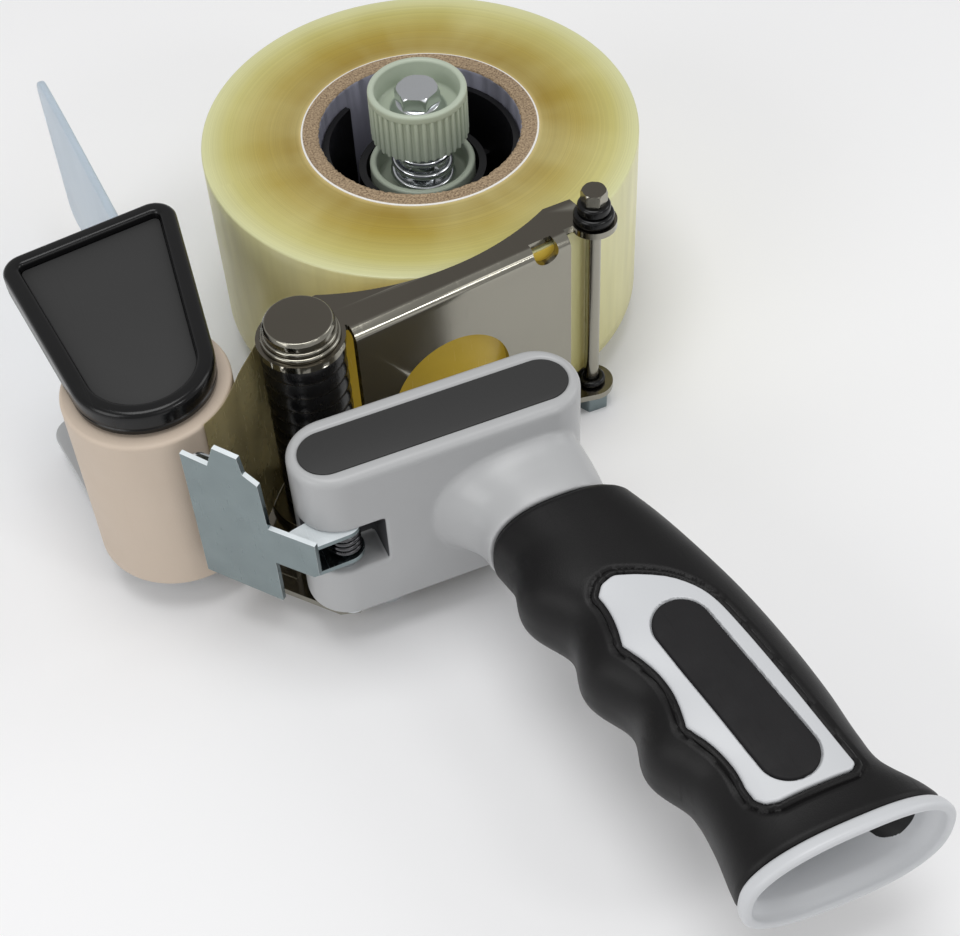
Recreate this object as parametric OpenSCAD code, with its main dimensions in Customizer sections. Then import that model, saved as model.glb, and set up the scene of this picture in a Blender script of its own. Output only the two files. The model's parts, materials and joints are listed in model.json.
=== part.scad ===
// Handheld packing tape dispenser, lying on its lower nuts with the roll axis upright

/* [Tape] */
// Width of the tape
tape_w = 50; // [42:1:60]
// Outer diameter of the wound roll
roll_d = 110; // [96:1:120]
// Outer diameter of the cardboard core
core_d = 60; // [58:1:66]
// Wall of the cardboard core
core_wall = 4.7; // [3.5:0.1:5]
// Thickness of the drawn-off film
film_t = 0.25; // [0.2:0.05:0.4]
// Where the drawn-off film ends on the applicator roller, degrees past its first touch
film_wrap = 26; // [10:1:32]

/* [Frame] */
// Thickness of the frame sheet
sheet_t = 1.8; // [1.2:0.1:2.4]
// Outer radius of the sheet bends
bend_r = 3.2; // [2.8:0.1:4]
// Radius of the base plate round the hub
plate_hub_r = 24; // [18:1:34]
// Depth of the foot of the upright web
foot_depth = 9; // [8.5:0.5:10]
// Radius of the round hole in the web
web_hole_r = 15.9; // [8:0.1:17]
// Distance of that hole from the left end of the web
web_hole_s = 23.6; // [22:0.1:26]
// Left end of the web, right of the tension roller axis
web_left_x = 11.3; // [11:0.1:13]
// Left end of the web, in front of the tension roller axis
web_left_y = 5.1; // [4:0.1:6]
// Right end of the web, left of the guide pin
web_right_x = 7.7; // [7:0.1:9]
// Right end of the web, in front of the guide pin
web_right_y = 4.1; // [3.5:0.1:5]
// Extra radius of the scoop in the flange over the roll radius
scoop_extra = 10.7; // [9:0.1:12]

/* [Roll brake] */
// Diameter of the roll spindle
spindle_d = 12; // [11:0.5:14]
// Diameter of the adjusting knob over its ribs
knob_d = 24.7; // [22:0.1:28]
// Height of the adjusting knob
knob_h = 14.3; // [12:0.1:16]
// Number of ribs round the knob
knob_ribs = 38; // [24:1:48]
// Diameter of the recess in the knob
knob_recess_d = 21.2; // [19:0.1:21.4]
// Diameter of the brake bolt
bolt_d = 6; // [5:0.5:6]
// Width of the bolt head across flats
bolt_af = 10; // [8:0.5:11]
// Wire of the brake spring
spring_wire = 2.2; // [1.6:0.1:2.4]
// Mean diameter of the brake spring at the cup
spring_d = 14.8; // [14:0.1:16]
// Mean diameter of the brake spring under the knob
spring_top_d = 12.8; // [12:0.1:14]
// Turns of the brake spring
spring_turns = 3; // [2.5:0.5:3.5]
// Outer diameter of the spring cup
cup_d = 27; // [25:0.1:27.4]
// Wall of the spring cup
cup_wall = 1.8; // [1.2:0.1:2.2]

/* [Core hub] */
// Outer diameter of the ring round the cup
hub_ring_d = 32.8; // [32.4:0.1:34]
// Wall of the hub rings
hub_wall = 1.9; // [1.5:0.1:2.2]
// Number of hub spokes
hub_spokes = 8; // [6:1:12]
// Angle that each tall hub leaf covers
leaf_angle = 100; // [60:1:120]
// Overhang of the hub flange under the core
hub_flange_over = 7.9; // [3:0.1:10]

/* [Tension roller] */
// Diameter of the tension roller
tension_d = 19.5; // [17:0.5:21]
// Free way between the roll and the tension roller
tension_gap = 14.5; // [13:0.1:18]
// Direction of the tension roller from the hub
tension_angle = -131.3; // [-134:0.1:-129]
// Pitch of the ribs on the tension roller
rib_pitch = 4.4; // [3:0.1:6]
// Depth of the rib grooves
rib_depth = 0.9; // [0.5:0.1:1.2]
// Diameter of the stepped cap
cap_d = 16.4; // [14:0.1:17]
// Radius of the flange round the cap
tension_ear_r = 10.2; // [9.6:0.1:10.6]
// Diameter of the seat under the tension roller
seat_d = 27; // [22:0.5:28]

/* [Applicator roller] */
// Diameter of the applicator roller
applicator_d = 38.4; // [34:0.2:40]
// Free way between the two rollers
roller_gap = 6.75; // [6:0.05:9]
// Direction of the applicator roller from the tension roller
applicator_angle = 173.9; // [170:0.1:178]
// Thickness of the rubber on the applicator roller
rubber_t = 6; // [3:0.5:8]
// Diameter of the applicator axle
axle_d = 8; // [7:0.5:9]

/* [Guide pin] */
// Diameter of the guide pin
pin_d = 3.4; // [3:0.1:4]
// Free way between the roll and the guide pin
pin_gap = 0.7; // [0.6:0.1:2]
// Direction of the guide pin from the hub
pin_angle = -66; // [-68:0.1:-65]
// Radius of the sheet ears round the pin
pin_ear_r = 5.6; // [5:0.1:6]

/* [Flap fork] */
// Radius of the round end of the cheeks
cheek_r = 16.3; // [14:0.1:17]
// Radius of the two far corners of the cheeks
cheek_corner_r = 5.5; // [5:0.1:6.5]
// Thickness of the upper cheek
cheek_t = 6.5; // [5.5:0.1:8]
// Width of the raised rim on the upper cheek
cheek_rim = 4; // [3:0.1:4.5]
// Free length of the flap with its clamped root
flap_len = 78; // [60:1:84]
// Thickness of the flap
flap_t = 1.6; // [1:0.1:2]
// Lean of the flap from straight
flap_lean = 3.3; // [0:0.1:6]

/* [Blade and guard] */
// Direction of the guard sheet
guard_angle = -49; // [-52:0.5:-46]
// Free way between applicator roller and guard edge
guard_clear = 4.4; // [3.5:0.1:6]
// Width of the guard plate
guard_w = 19; // [18:0.1:21]
// Number of blade teeth
blade_teeth = 21; // [12:1:26]
// Thickness of the blade
blade_t = 0.6; // [0.4:0.1:0.8]
// Wire of the guard spring
guard_wire = 1.1; // [0.8:0.1:1.2]
// Turns of the guard spring
guard_turns = 3; // [2:0.5:3]
// Diameter of the guard pivot bolt
pivot_d = 4; // [3.5:0.1:4.4]

/* [Housing] */
// Straight length of the pill-shaped housing
pill_len = 47.8; // [44:0.1:52]
// End radius of the housing
pill_r = 10; // [9.5:0.1:11]
// Rounding of the upper edge
pill_fillet = 1.8; // [1:0.1:2.4]
// Free way between web and housing
pill_gap = 16.4; // [14:0.1:20]
// Shift of the housing along the web
pill_shift = 8; // [5:0.1:9]
// Width of the bare rim round the housing plate
label_rim = 3.7; // [3:0.1:4.2]

/* [Grip] */
// Length of the grip
grip_len = 98.4; // [90:0.2:110]
// Depth of the grip from front to back
grip_depth = 37.5; // [34:0.5:40]
// Thickness of the grip
grip_thick = 29.6; // [27:0.2:32]
// Lean of the grip axis, with its ends kept square
grip_lean = 10.4; // [6:0.1:12]
// Depth of the finger hollows
finger_depth = 3.4; // [1:0.1:4]
// Wall of the rubber sleeve
sleeve_t = 2.8; // [2.4:0.1:3.2]
// Wall of the grip core
core_t = 2.2; // [1.6:0.1:2.6]
// Length of the bare rim at the end
rim_len = 3.4; // [3:0.1:6]
// Thickness of the grip inlay
inlay_t = 1.5; // [1:0.1:1.8]
// Straight length of the grip badge
badge_len = 34.6; // [30:0.2:35]
// End radius of the grip badge
badge_r = 6.3; // [5:0.1:6.5]

/* [Hidden] */
$fn = 64;
// clearances
run_fit = 0.05;
snug = 0.1;
gap = 0.3;

// radii
roll_r = roll_d / 2;
core_r = core_d / 2;
core_in_r = core_r - core_wall;
tension_r = tension_d / 2;
applicator_r = applicator_d / 2;
pin_r = pin_d / 2;
axle_r = axle_d / 2;
spindle_r = spindle_d / 2;
bolt_r = bolt_d / 2;

// levels
nut_h = 4.5;
washer_t = 1;
plate_z0 = nut_h + washer_t;
plate_z1 = plate_z0 + sheet_t;
low_cheek_t = 2.2;
low_cheek_z1 = plate_z1 + gap + low_cheek_t;
roll_z0 = low_cheek_z1 + 0.2;
roll_z1 = roll_z0 + tape_w;
flange_z0 = roll_z1 + 0.8;
flange_z1 = flange_z0 + sheet_t;
mid_z = (roll_z0 + roll_z1) / 2 + 1;

// plan positions
function dir(a) = [cos(a), sin(a)];
function side(v) = [-v[1], v[0]];
pin_pos = (roll_r + pin_gap + pin_r) * dir(pin_angle);
tension_pos = (roll_r + tension_gap + tension_r) * dir(tension_angle);
applicator_pos = tension_pos + (tension_r + roller_gap + applicator_r) * dir(applicator_angle);
web_left = tension_pos + [web_left_x, -web_left_y];
web_right = pin_pos - [web_right_x, web_right_y];
web_len = norm(web_right - web_left);
web_angle = atan2(web_right[1] - web_left[1], web_right[0] - web_left[0]);
web_dir = dir(web_angle);
foot_start = (tension_pos - web_left) * web_dir + seat_d / 2 + gap;
pill_pos = [web_left[0] + pill_shift, web_left[1] - pill_gap - pill_r];
pill_left = pill_pos - [pill_len / 2, 0];
pivot_pos = pill_left + [-1.6, 3.8 - pill_r];
guard_pos = applicator_pos + (applicator_r + guard_clear) * dir(-88);
guard_dir = dir(guard_angle);
pivot_s = (pivot_pos - guard_pos) * guard_dir;
pivot_n = (pivot_pos - guard_pos) * side(guard_dir);
neck_len = 13;
grip_pos = [pill_pos[0] + 19.5, pill_pos[1] - pill_r - neck_len];

// brake stack
cup_z0 = roll_z1 - 18;
cup_floor = cup_z0 + 1.5;
cup_h = 7.7;
knob_z0 = roll_z1 - 2;
knob_floor = knob_z0 + 7.5;
press_t = 1;
feed_travel = 3;
bolt_reach = 14;
spring_z0 = cup_floor + spring_wire / 2;
spring_z1 = knob_z0 - press_t - spring_wire / 2;
hub_in_r = cup_d / 2 + 1;

// flap fork
cheek_z0 = roll_z1;
cheek_z1 = cheek_z0 + cheek_t;
panel_z0 = cheek_z1 - 3;
head_z = panel_z0 - 1.5;
cheek_a = applicator_pos + [-15.7, 40.2];
cheek_b = applicator_pos + [16, 44.7];
flap_pos = applicator_pos + [9.4, 41.7];

// guard and blade
guard_t = 1.2;
guard_top = roll_z1;
guard_low = roll_z0 + 8.6;
lug_t = 1.2;
lug_low = mid_z - 2.4;
lug_high = mid_z + 5.2;
arm_top = mid_z + 8;
lug_r = pivot_d / 2 + 2.4;
blade_n = guard_t + 1.9;
tab_n = blade_n + blade_t;
tab_s0 = 4;
tab_s1 = 14.5;
tab_back = 13.2;
shelf_z = guard_low + 1;
blade_z0 = roll_z0 + 6.3;
blade_z1 = roll_z1 - 2;
tooth = 2.2;

// housing
pill_z0 = roll_z0 + 2.5;
pill_z1 = roll_z1 - 1;
label_deep = 1.2;
window_z0 = lug_low - 5.3;
window_z1 = lug_high + lug_t + gap;
pedestal_r = pill_r - 5;
screw_x = 15;

function tangent_quad(p, rp, q, rq) =
    let (v = q - p, d = norm(v), u = v / d, c = (rp - rq) / d, s = sqrt(1 - c * c))
    let (a = u * c + side(u) * s, b = u * c - side(u) * s)
    [p + rp * a, q + rq * a, q + rq * b, p + rp * b];

module at(p, z = 0) {
    translate([p[0], p[1], z]) children();
}

// two discs and the bar between them, set in a little so that its sides cross the arcs
module link(p, rp, q, rq, h) {
    set_in = 0.999;
    union() {
        at(p) cylinder(r = rp, h = h);
        at(q) cylinder(r = rq, h = h);
        linear_extrude(h) polygon(tangent_quad(p, set_in * rp, q, set_in * rq));
    }
}

module tri(a, ra, b, rb, c, rc, h) {
    union() {
        link(a, ra, b, rb, h);
        link(b, rb, c, rc, h);
        link(c, rc, a, ra, h);
        linear_extrude(h) polygon([a, b, c]);
    }
}

module stadium(len, r, h) {
    link([-len / 2, 0], r, [len / 2, 0], r, h);
}

module at_web() {
    at(web_left) rotate([0, 0, web_angle]) children();
}

module at_guard() {
    at(guard_pos) rotate([0, 0, guard_angle]) children();
}

module at_flap() {
    at(flap_pos) rotate([0, 0, flap_lean]) children();
}

module at_grip(z = 0) {
    at(grip_pos, z) children();
}

module tube(r_out, r_in, h) {
    difference() {
        cylinder(r = r_out, h = h);
        translate([0, 0, -1]) cylinder(r = r_in, h = h + 2);
    }
}

module hexagon(af, h) {
    cylinder(r = af / sqrt(3), h = h, $fn = 6);
}

// upright sheet in the (s, z) plane, from n to n + t
module upright(n, t) {
    translate([0, n + t, 0]) rotate([90, 0, 0]) linear_extrude(t) children();
}

// closed solid through loops of equal length
module loft(loops, closed = false) {
    n = len(loops[0]);
    m = len(loops);
    last = closed ? m : m - 1;
    sides = [for (i = [0 : last - 1], j = [0 : n - 1], k = [0, 1])
        let (a = i * n + j, b = i * n + (j + 1) % n)
        let (c = ((i + 1) % m) * n + j, d = ((i + 1) % m) * n + (j + 1) % n)
        k == 0 ? [a, d, b] : [a, c, d]];
    caps = closed ? [] : [[for (j = [0 : n - 1]) j], [for (j = [n - 1 : -1 : 0]) (m - 1) * n + j]];
    polyhedron([for (l = loops) each l], concat(sides, caps));
}

// round wire along centre points
module wire(points, r) {
    n = len(points);
    ring = 6;
    loft([for (i = [0 : n - 1])
        let (t = points[min(i + 1, n - 1)] - points[max(i - 1, 0)], u = t / norm(t))
        let (e = cross([0, 0, 1], u), x = e / norm(e), y = cross(u, x))
        [for (k = [0 : ring - 1]) points[i] + r * (cos(k * 60) * x + sin(k * 60) * y)]]);
}

function helix(r0, r1, z0, z1, turns, rings = 8) =
    [for (i = [0 : turns * rings])
        let (k = i / (turns * rings), r = r0 + (r1 - r0) * k, a = 360 * i / rings)
        [r * cos(a), r * sin(a), z0 + (z1 - z0) * k]];

function least_gap(p, d, half = 4) =
    min([for (i = [0 : len(p) - 1 - half], j = [i + half : len(p) - 1]) norm(p[i] - p[j])]) - d;

// smooth curve through [position, value] pairs
function span(x, t, i = 0) = (i >= len(t) - 2 || x < t[i + 1][0]) ? i : span(x, t, i + 1);
function slope(t, i) =
    let (a = t[max(i - 1, 0)], b = t[min(i + 1, len(t) - 1)]) (b[1] - a[1]) / (b[0] - a[0]);
function curve(x, t) =
    let (i = span(x, t), a = t[i], b = t[i + 1], w = b[0] - a[0], u = (x - a[0]) / w)
    (2 * u * u * u - 3 * u * u + 1) * a[1] + (u * u * u - 2 * u * u + u) * w * slope(t, i)
    + (3 * u * u - 2 * u * u * u) * b[1] + (u * u * u - u * u) * w * slope(t, i + 1);

module plate_outline() {
    edge_n = 9.4;
    inner = side(web_dir) * (foot_depth - 3);
    tri([0, 0], plate_hub_r, web_left + inner, 6, web_right + inner, 6, sheet_t);
    link(web_left + inner, 6, tension_pos, seat_d / 2, sheet_t);
    link(tension_pos, seat_d / 2, applicator_pos, 10, sheet_t);
    link(web_right + inner, 6, pin_pos, pin_ear_r, sheet_t);
    at(pill_pos) stadium(2 * screw_x + 6, pedestal_r - 1.4, sheet_t);
    linear_extrude(sheet_t) polygon([pill_pos - [screw_x, 0], pill_pos + [screw_x, 0],
        web_right + inner, web_left + inner]);
    at_guard() linear_extrude(sheet_t) polygon([[tab_s0, tab_back], [tab_s0 + 5, edge_n], [pivot_s - 4, edge_n],
        [pivot_s, edge_n + 2.5], [pivot_s, 30], [tab_s0, 30]]);
}

// joggled tab that carries the blade, in the (n, z) plane
module blade_tab() {
    top = blade_z1 - 6;
    polygon([[tab_back, plate_z0], [tab_back, shelf_z], [tab_n, shelf_z], [tab_n, top], [tab_n + sheet_t, top],
        [tab_n + sheet_t, shelf_z + sheet_t], [tab_back + sheet_t, shelf_z + sheet_t], [tab_back + sheet_t, plate_z0]]);
}

module base_plate() {
    color([0.62, 0.6, 0.57]) difference() {
        union() {
            translate([0, 0, plate_z0]) plate_outline();
            at_guard() rotate([90, 0, 90]) translate([0, 0, tab_s0]) linear_extrude(tab_s1 - tab_s0) blade_tab();
        }
        translate([0, 0, plate_z0 - 1]) cylinder(r = spindle_r + run_fit, h = sheet_t + 2);
        for (p = [pin_pos, tension_pos, applicator_pos])
            at(p, plate_z0 - 1) cylinder(r = axle_hole(p), h = sheet_t + 2);
        for (x = [-screw_x, screw_x])
            at(pill_pos + [x, 0], plate_z0 - 1) cylinder(r = screw_r + snug, h = sheet_t + 2);
        at_web() for (s = rivet_s)
            translate([s, rivet_n, plate_z0 - 1]) cylinder(r = rivet_r + run_fit, h = sheet_t + 2);
        at_guard() for (z = blade_screw_z)
            translate([tab_s0 + 5, 0, z]) rotate([-90, 0, 0]) cylinder(r = blade_screw_r + run_fit, h = 10);
    }
}

screw_r = 2;
rivet_r = 1.8;
rivet_n = (bend_r + foot_depth) / 2;
rivet_head_r = min(rivet_r + 0.8, foot_depth - rivet_n - snug);
rivet_s = [8, web_len / 2, web_len - 8];
blade_screw_r = 1.5;
blade_screw_z = [blade_z0 + 12, blade_z0 + 29];
tension_axle_r = 3;

function axle_hole(p) =
    (p == pin_pos ? pin_r : p == tension_pos ? tension_axle_r : axle_r) + run_fit;

module web_section() {
    up = flange_z1 - plate_z1;
    module bend() {
        intersection() {
            difference() {
                circle(bend_r);
                circle(bend_r - sheet_t);
            }
            translate([-bend_r, 0]) square(bend_r);
        }
    }
    translate([0, plate_z1 + bend_r]) square([sheet_t, up - 2 * bend_r]);
    translate([bend_r, flange_z1 - bend_r]) bend();
    translate([bend_r, plate_z1 + bend_r]) mirror([0, 1]) bend();
    translate([bend_r, flange_z0]) square([1, sheet_t]);
    translate([bend_r, plate_z1]) square([foot_depth - bend_r, sheet_t]);
}

module flange_outline() {
    root = side(web_dir) * (bend_r + 0.5);
    inset = web_dir * 0.4;
    notch = tension_pos + [tension_ear_r, -1];
    rear = pin_pos + [-2.3, 8.6];
    linear_extrude(sheet_t) difference() {
        polygon([tension_pos + [0, tension_ear_r], tension_pos, notch, web_left + root + inset,
            web_right + root - inset, pin_pos, rear, rear - [6, 0.4]]);
        translate([-20, 12]) circle(roll_r + scoop_extra, $fn = 128);
    }
    at(tension_pos) cylinder(r = tension_ear_r, h = sheet_t);
    at(pin_pos) cylinder(r = pin_ear_r, h = sheet_t);
}

module web_bracket() {
    color([0.66, 0.64, 0.6]) difference() {
        union() {
            at_web() rotate([90, 0, 90]) linear_extrude(web_len) web_section();
            translate([0, 0, flange_z0]) flange_outline();
        }
        at_web() {
            translate([-1, -1, plate_z0]) cube([1 + foot_start, 20, sheet_t + bend_r + gap]);
            translate([web_hole_s, -1, mid_z - 4.6]) rotate([-90, 0, 0]) cylinder(r = web_hole_r, h = 20);
            translate([web_len - 6.6, -1, flange_z0 + 0.4]) rotate([-90, 0, 0])
                cylinder(r = bend_r + 0.1, h = bend_r + 1.4);
            for (s = rivet_s)
                translate([s, rivet_n, plate_z0]) cylinder(r = rivet_r + run_fit, h = 8);
        }
        at(pin_pos, flange_z0 - 1) cylinder(r = pin_r + run_fit, h = sheet_t + 2);
        at(tension_pos, flange_z0 - 1) cylinder(r = tension_axle_r + run_fit, h = sheet_t + 2);
    }
}

module bracket_rivets() {
    color([0.6, 0.6, 0.6]) at_web() for (s = rivet_s) translate([s, rivet_n, plate_z0 - 0.8]) {
        cylinder(r = rivet_r, h = 2 * sheet_t + 1.4);
        cylinder(r = rivet_head_r, h = 0.8);
        translate([0, 0, 2 * sheet_t + 0.8]) cylinder(r = rivet_head_r, h = 0.6);
    }
}

module spindle() {
    color([0.7, 0.7, 0.7]) difference() {
        union() {
            hexagon(19, plate_z0);
            translate([0, 0, plate_z0 - 1]) cylinder(r = spindle_r, h = cup_z0 - plate_z0 + 1);
            translate([0, 0, cup_z0 - 1]) cylinder(r = spindle_r - 1, h = cup_floor - cup_z0 + 1);
        }
        translate([0, 0, cup_z0 - bolt_reach - feed_travel - 1]) cylinder(r = bolt_r + run_fit, h = 40);
    }
}

module spindle_collar() {
    color([0.65, 0.65, 0.65]) translate([0, 0, plate_z1]) tube(spindle_r + 4, spindle_r + run_fit, 0.5);
}

module brake_cup() {
    color([0.6, 0.68, 0.58]) translate([0, 0, cup_z0]) difference() {
        cylinder(r = cup_d / 2, h = cup_h);
        translate([0, 0, cup_floor - cup_z0]) cylinder(r = cup_d / 2 - cup_wall, h = cup_h);
        translate([0, 0, -1]) cylinder(r = spindle_r - 1 + run_fit, h = cup_h);
    }
}

brake_points = helix(spring_d / 2, spring_top_d / 2, spring_z0, spring_z1, spring_turns);
echo(brake_spring_gap = least_gap(brake_points, spring_wire));

module brake_spring() {
    color([0.75, 0.75, 0.74]) wire(brake_points, spring_wire / 2);
}

module brake_washer() {
    color([0.72, 0.72, 0.7]) translate([0, 0, knob_z0 - press_t]) tube(spring_top_d / 2 + 2, bolt_r + snug, press_t);
}

module brake_knob() {
    root = knob_d / 2 - 0.7;
    step = 360 / knob_ribs;
    color([0.6, 0.68, 0.58]) difference() {
        translate([0, 0, knob_z0]) linear_extrude(knob_h) polygon([for (i = [0 : knob_ribs - 1])
            each [root * dir(i * step), root * dir((i + 0.4) * step),
                knob_d / 2 * dir((i + 0.52) * step), knob_d / 2 * dir((i + 0.88) * step)]]);
        translate([0, 0, knob_floor]) cylinder(r = knob_recess_d / 2, h = knob_h);
        translate([0, 0, knob_z0 - 1]) cylinder(r = bolt_r + run_fit, h = knob_h);
    }
}

module brake_bolt() {
    head = knob_z0 + knob_h - knob_floor - 0.3;
    color([0.7, 0.7, 0.68]) {
        translate([0, 0, knob_floor]) {
            cylinder(r = bolt_af * 0.72, h = 1.5);
            hexagon(bolt_af, head);
        }
        translate([0, 0, cup_z0 - bolt_reach]) cylinder(r = bolt_r, h = knob_floor - cup_z0 + bolt_reach + 0.5);
    }
}

module wedge(a, r, h) {
    linear_extrude(h) polygon([[0, 0], r * dir(-a / 2), r * dir(-a / 4), r * dir(0), r * dir(a / 4), r * dir(a / 2)]);
}

module core_hub() {
    out_r = core_in_r - 0.2;
    base = plate_z1 + 0.7;
    low = 20;
    leaf_inset = 0.15;
    color([0.12, 0.12, 0.12]) difference() {
        union() {
            translate([0, 0, base]) cylinder(r = out_r + hub_flange_over, h = roll_z0 - base);
            translate([0, 0, base]) tube(spindle_r + 3, spindle_r, cup_z0 - gap - base);
            translate([0, 0, base]) tube(hub_ring_d / 2, hub_in_r, cup_z0 + 6 - base);
            translate([0, 0, cup_z0 - gap - 3]) tube(hub_in_r + 0.5, spindle_r, 3);
            translate([0, 0, base]) tube(out_r, out_r - hub_wall, low);
            for (a = [0, 180]) rotate(a - 10) translate([0, 0, base + 1]) intersection() {
                tube(out_r - leaf_inset, out_r - hub_wall + leaf_inset, roll_z1 - 6 - base);
                wedge(leaf_angle, 2 * out_r, roll_z1);
            }
            for (i = [0 : hub_spokes - 1]) rotate((i + 0.5) * 360 / hub_spokes)
                translate([hub_ring_d / 2 - 0.5, -1, base])
                    cube([out_r - hub_wall / 2 - hub_ring_d / 2, 2, 2 * low - 10]);
        }
        translate([0, 0, base - 1]) cylinder(r = spindle_r + run_fit, h = 60);
    }
}

module tape_core() {
    color([0.62, 0.52, 0.42]) translate([0, 0, roll_z0]) tube(core_r, core_in_r, tape_w);
}

module tape_roll() {
    color([0.85, 0.8, 0.6]) translate([0, 0, roll_z0])
        tube(roll_r, core_r, tape_w, $fn = 128);
}

// centre line of the film: round the roll, past the tension roller, on to the applicator
film_roll_r = roll_r + gap + film_t / 2;
film_tension_r = tension_r + gap + film_t / 2;
film_applicator_r = applicator_r + gap + film_t / 2;
function cross_turn(p, rp, q, rq) = acos((rp + rq) / norm(q - p));
film_a = tension_angle + cross_turn([0, 0], film_roll_r, tension_pos, film_tension_r);
film_b = applicator_angle - cross_turn(tension_pos, film_tension_r, applicator_pos, film_applicator_r);
function film_side(k) = concat(
    [for (i = [0 : 4]) (film_roll_r - k) * dir(film_a + 20 - 5 * i)],
    [for (i = [0 : 12]) tension_pos + (film_tension_r + k) * dir(film_a + 180 + i * (film_b - film_a - 180) / 12)],
    [for (i = [0 : 6]) applicator_pos + (film_applicator_r - k) * dir(film_b - 180 - i * film_wrap / 6)]);

module tape_leader() {
    left = film_side(film_t / 2);
    right = film_side(-film_t / 2);
    color([0.8, 0.76, 0.55]) translate([0, 0, roll_z0]) linear_extrude(tape_w)
        polygon(concat(left, [for (i = [len(right) - 1 : -1 : 0]) right[i]]));
}

// tension roller
seat_t = 2.3;
roller_low = plate_z1 + seat_t + 0.6;
roller_high = flange_z0 - 0.6;

module tension_axle() {
    color([0.72, 0.71, 0.68]) at(tension_pos) {
        cylinder(r = tension_axle_r, h = flange_z1 + 3);
        translate([0, 0, flange_z1 + 2.4]) rotate_extrude() {
            square([cap_d / 2, 1.8]);
            square([cap_d / 2 - 0.8, 2.6]);
        }
    }
}

module cap_washers() {
    color([0.75, 0.74, 0.7]) at(tension_pos, flange_z1) {
        tube(cap_d / 2 + 1, tension_axle_r + run_fit, 1.2);
        translate([0, 0, 1.2]) tube(cap_d / 2 + 0.4, tension_axle_r + run_fit, 1.2);
    }
}

module tension_roller() {
    h = roller_high - roller_low;
    n = floor(h / rib_pitch);
    p = h / n;
    color([0.1, 0.1, 0.1]) at(tension_pos, roller_low) difference() {
        rotate_extrude() polygon(concat([[tension_axle_r + 1, 0]],
            [for (i = [0 : n - 1]) each [[tension_r - rib_depth, p * i], [tension_r, p * (i + 0.12)],
                [tension_r, p * (i + 0.45)]]],
            [[tension_r - rib_depth, h], [tension_axle_r + 1, h]]));
        translate([0, 0, -1]) cylinder(r = tension_axle_r + 2.5, h = h + 2);
    }
}

module tension_bush() {
    color([0.7, 0.65, 0.5]) at(tension_pos, roller_low)
        tube(tension_axle_r + 2.5 - run_fit, tension_axle_r + run_fit, roller_high - roller_low);
}

module tension_seat() {
    color([0.5, 0.48, 0.45]) at(tension_pos, plate_z1) tube(seat_d / 2, tension_axle_r + run_fit, seat_t);
}

// applicator roller
app_z0 = low_cheek_z1 + 0.6;
app_z1 = cheek_z0 - 0.7;

module applicator_rubber() {
    color([0.85, 0.8, 0.7]) at(applicator_pos, app_z0)
        tube(applicator_r, applicator_r - rubber_t, app_z1 - app_z0);
}

module applicator_core() {
    color([0.8, 0.78, 0.7]) at(applicator_pos, app_z0)
        tube(applicator_r - rubber_t - run_fit, axle_r + run_fit, app_z1 - app_z0);
}

module applicator_axle() {
    color([0.7, 0.7, 0.68]) at(applicator_pos) {
        cylinder(r = axle_r, h = head_z + 1);
        translate([0, 0, head_z + 0.2]) cylinder(r = axle_r + 3, h = 1.1);
    }
}

// guide pin
pin_washer_t = 2.6;

module guide_pin() {
    color([0.72, 0.71, 0.7]) at(pin_pos) {
        cylinder(r = pin_r, h = flange_z1 + 2 * pin_washer_t + 1);
        translate([0, 0, flange_z1 + 2 * pin_washer_t]) hexagon(6.4, 3.6);
    }
}

module pin_washers() {
    color([0.1, 0.1, 0.1]) at(pin_pos, flange_z1) {
        tube(pin_ear_r - 0.7, pin_r + run_fit, pin_washer_t);
        translate([0, 0, pin_washer_t]) tube(pin_ear_r - 1.6, pin_r + run_fit, pin_washer_t);
    }
}

module pin_seal() {
    color([0.08, 0.08, 0.08]) at(pin_pos, plate_z1 + 0.9) rotate_extrude()
        translate([pin_r + run_fit + 0.9, 0]) circle(0.9, $fn = 32);
}

module lower_washers() {
    color([0.12, 0.12, 0.12]) for (p = [pin_pos, tension_pos, applicator_pos])
        at(p, nut_h) tube(axle_hole(p) + 3, axle_hole(p), washer_t);
}

module lower_nuts() {
    color([0.7, 0.72, 0.72]) for (p = [pin_pos, tension_pos, applicator_pos]) at(p) difference() {
        hexagon(2 * axle_hole(p) + 5, nut_h);
        translate([0, 0, -1]) cylinder(r = axle_hole(p), h = nut_h + 2);
    }
}

// flap fork
module cheek(inset, h) {
    tri(applicator_pos, cheek_r - inset, cheek_a, cheek_corner_r - inset, cheek_b, cheek_corner_r - inset, h);
}

module lower_cheek() {
    color([0.75, 0.75, 0.77]) difference() {
        translate([0, 0, plate_z1 + gap]) cheek(0, low_cheek_t);
        at(applicator_pos, plate_z1) cylinder(r = axle_r + snug, h = 10);
        at_flap() translate([0, -2.8, plate_z1]) {
            cylinder(r = 1.6, h = 10);
            cylinder(r = 3.1, h = gap + 1.2);
        }
    }
}

module upper_cheek() {
    color([0.07, 0.07, 0.07]) difference() {
        union() {
            translate([0, 0, cheek_z0]) cheek(0, cheek_t - 1.2);
            translate([0, 0, cheek_z0]) cheek(0.4, cheek_t - 0.5);
            translate([0, 0, cheek_z0]) cheek(1.1, cheek_t);
        }
        translate([0, 0, panel_z0]) cheek(cheek_rim, 10);
        at(applicator_pos, cheek_z0 - 1) cylinder(r = axle_r + snug, h = 20);
        at(applicator_pos, head_z) cylinder(r = axle_r + 3 + gap, h = 20);
        at_flap() translate([0, -2.8, cheek_z0 - 1]) cylinder(r = 1.6, h = 20);
        at_flap() translate([0, -2.8, head_z]) cylinder(r = 3.1, h = 20);
    }
}

module cheek_panel() {
    color([0.2, 0.2, 0.2]) translate([0, 0, panel_z0]) cheek(cheek_rim + snug, 1);
}

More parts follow.
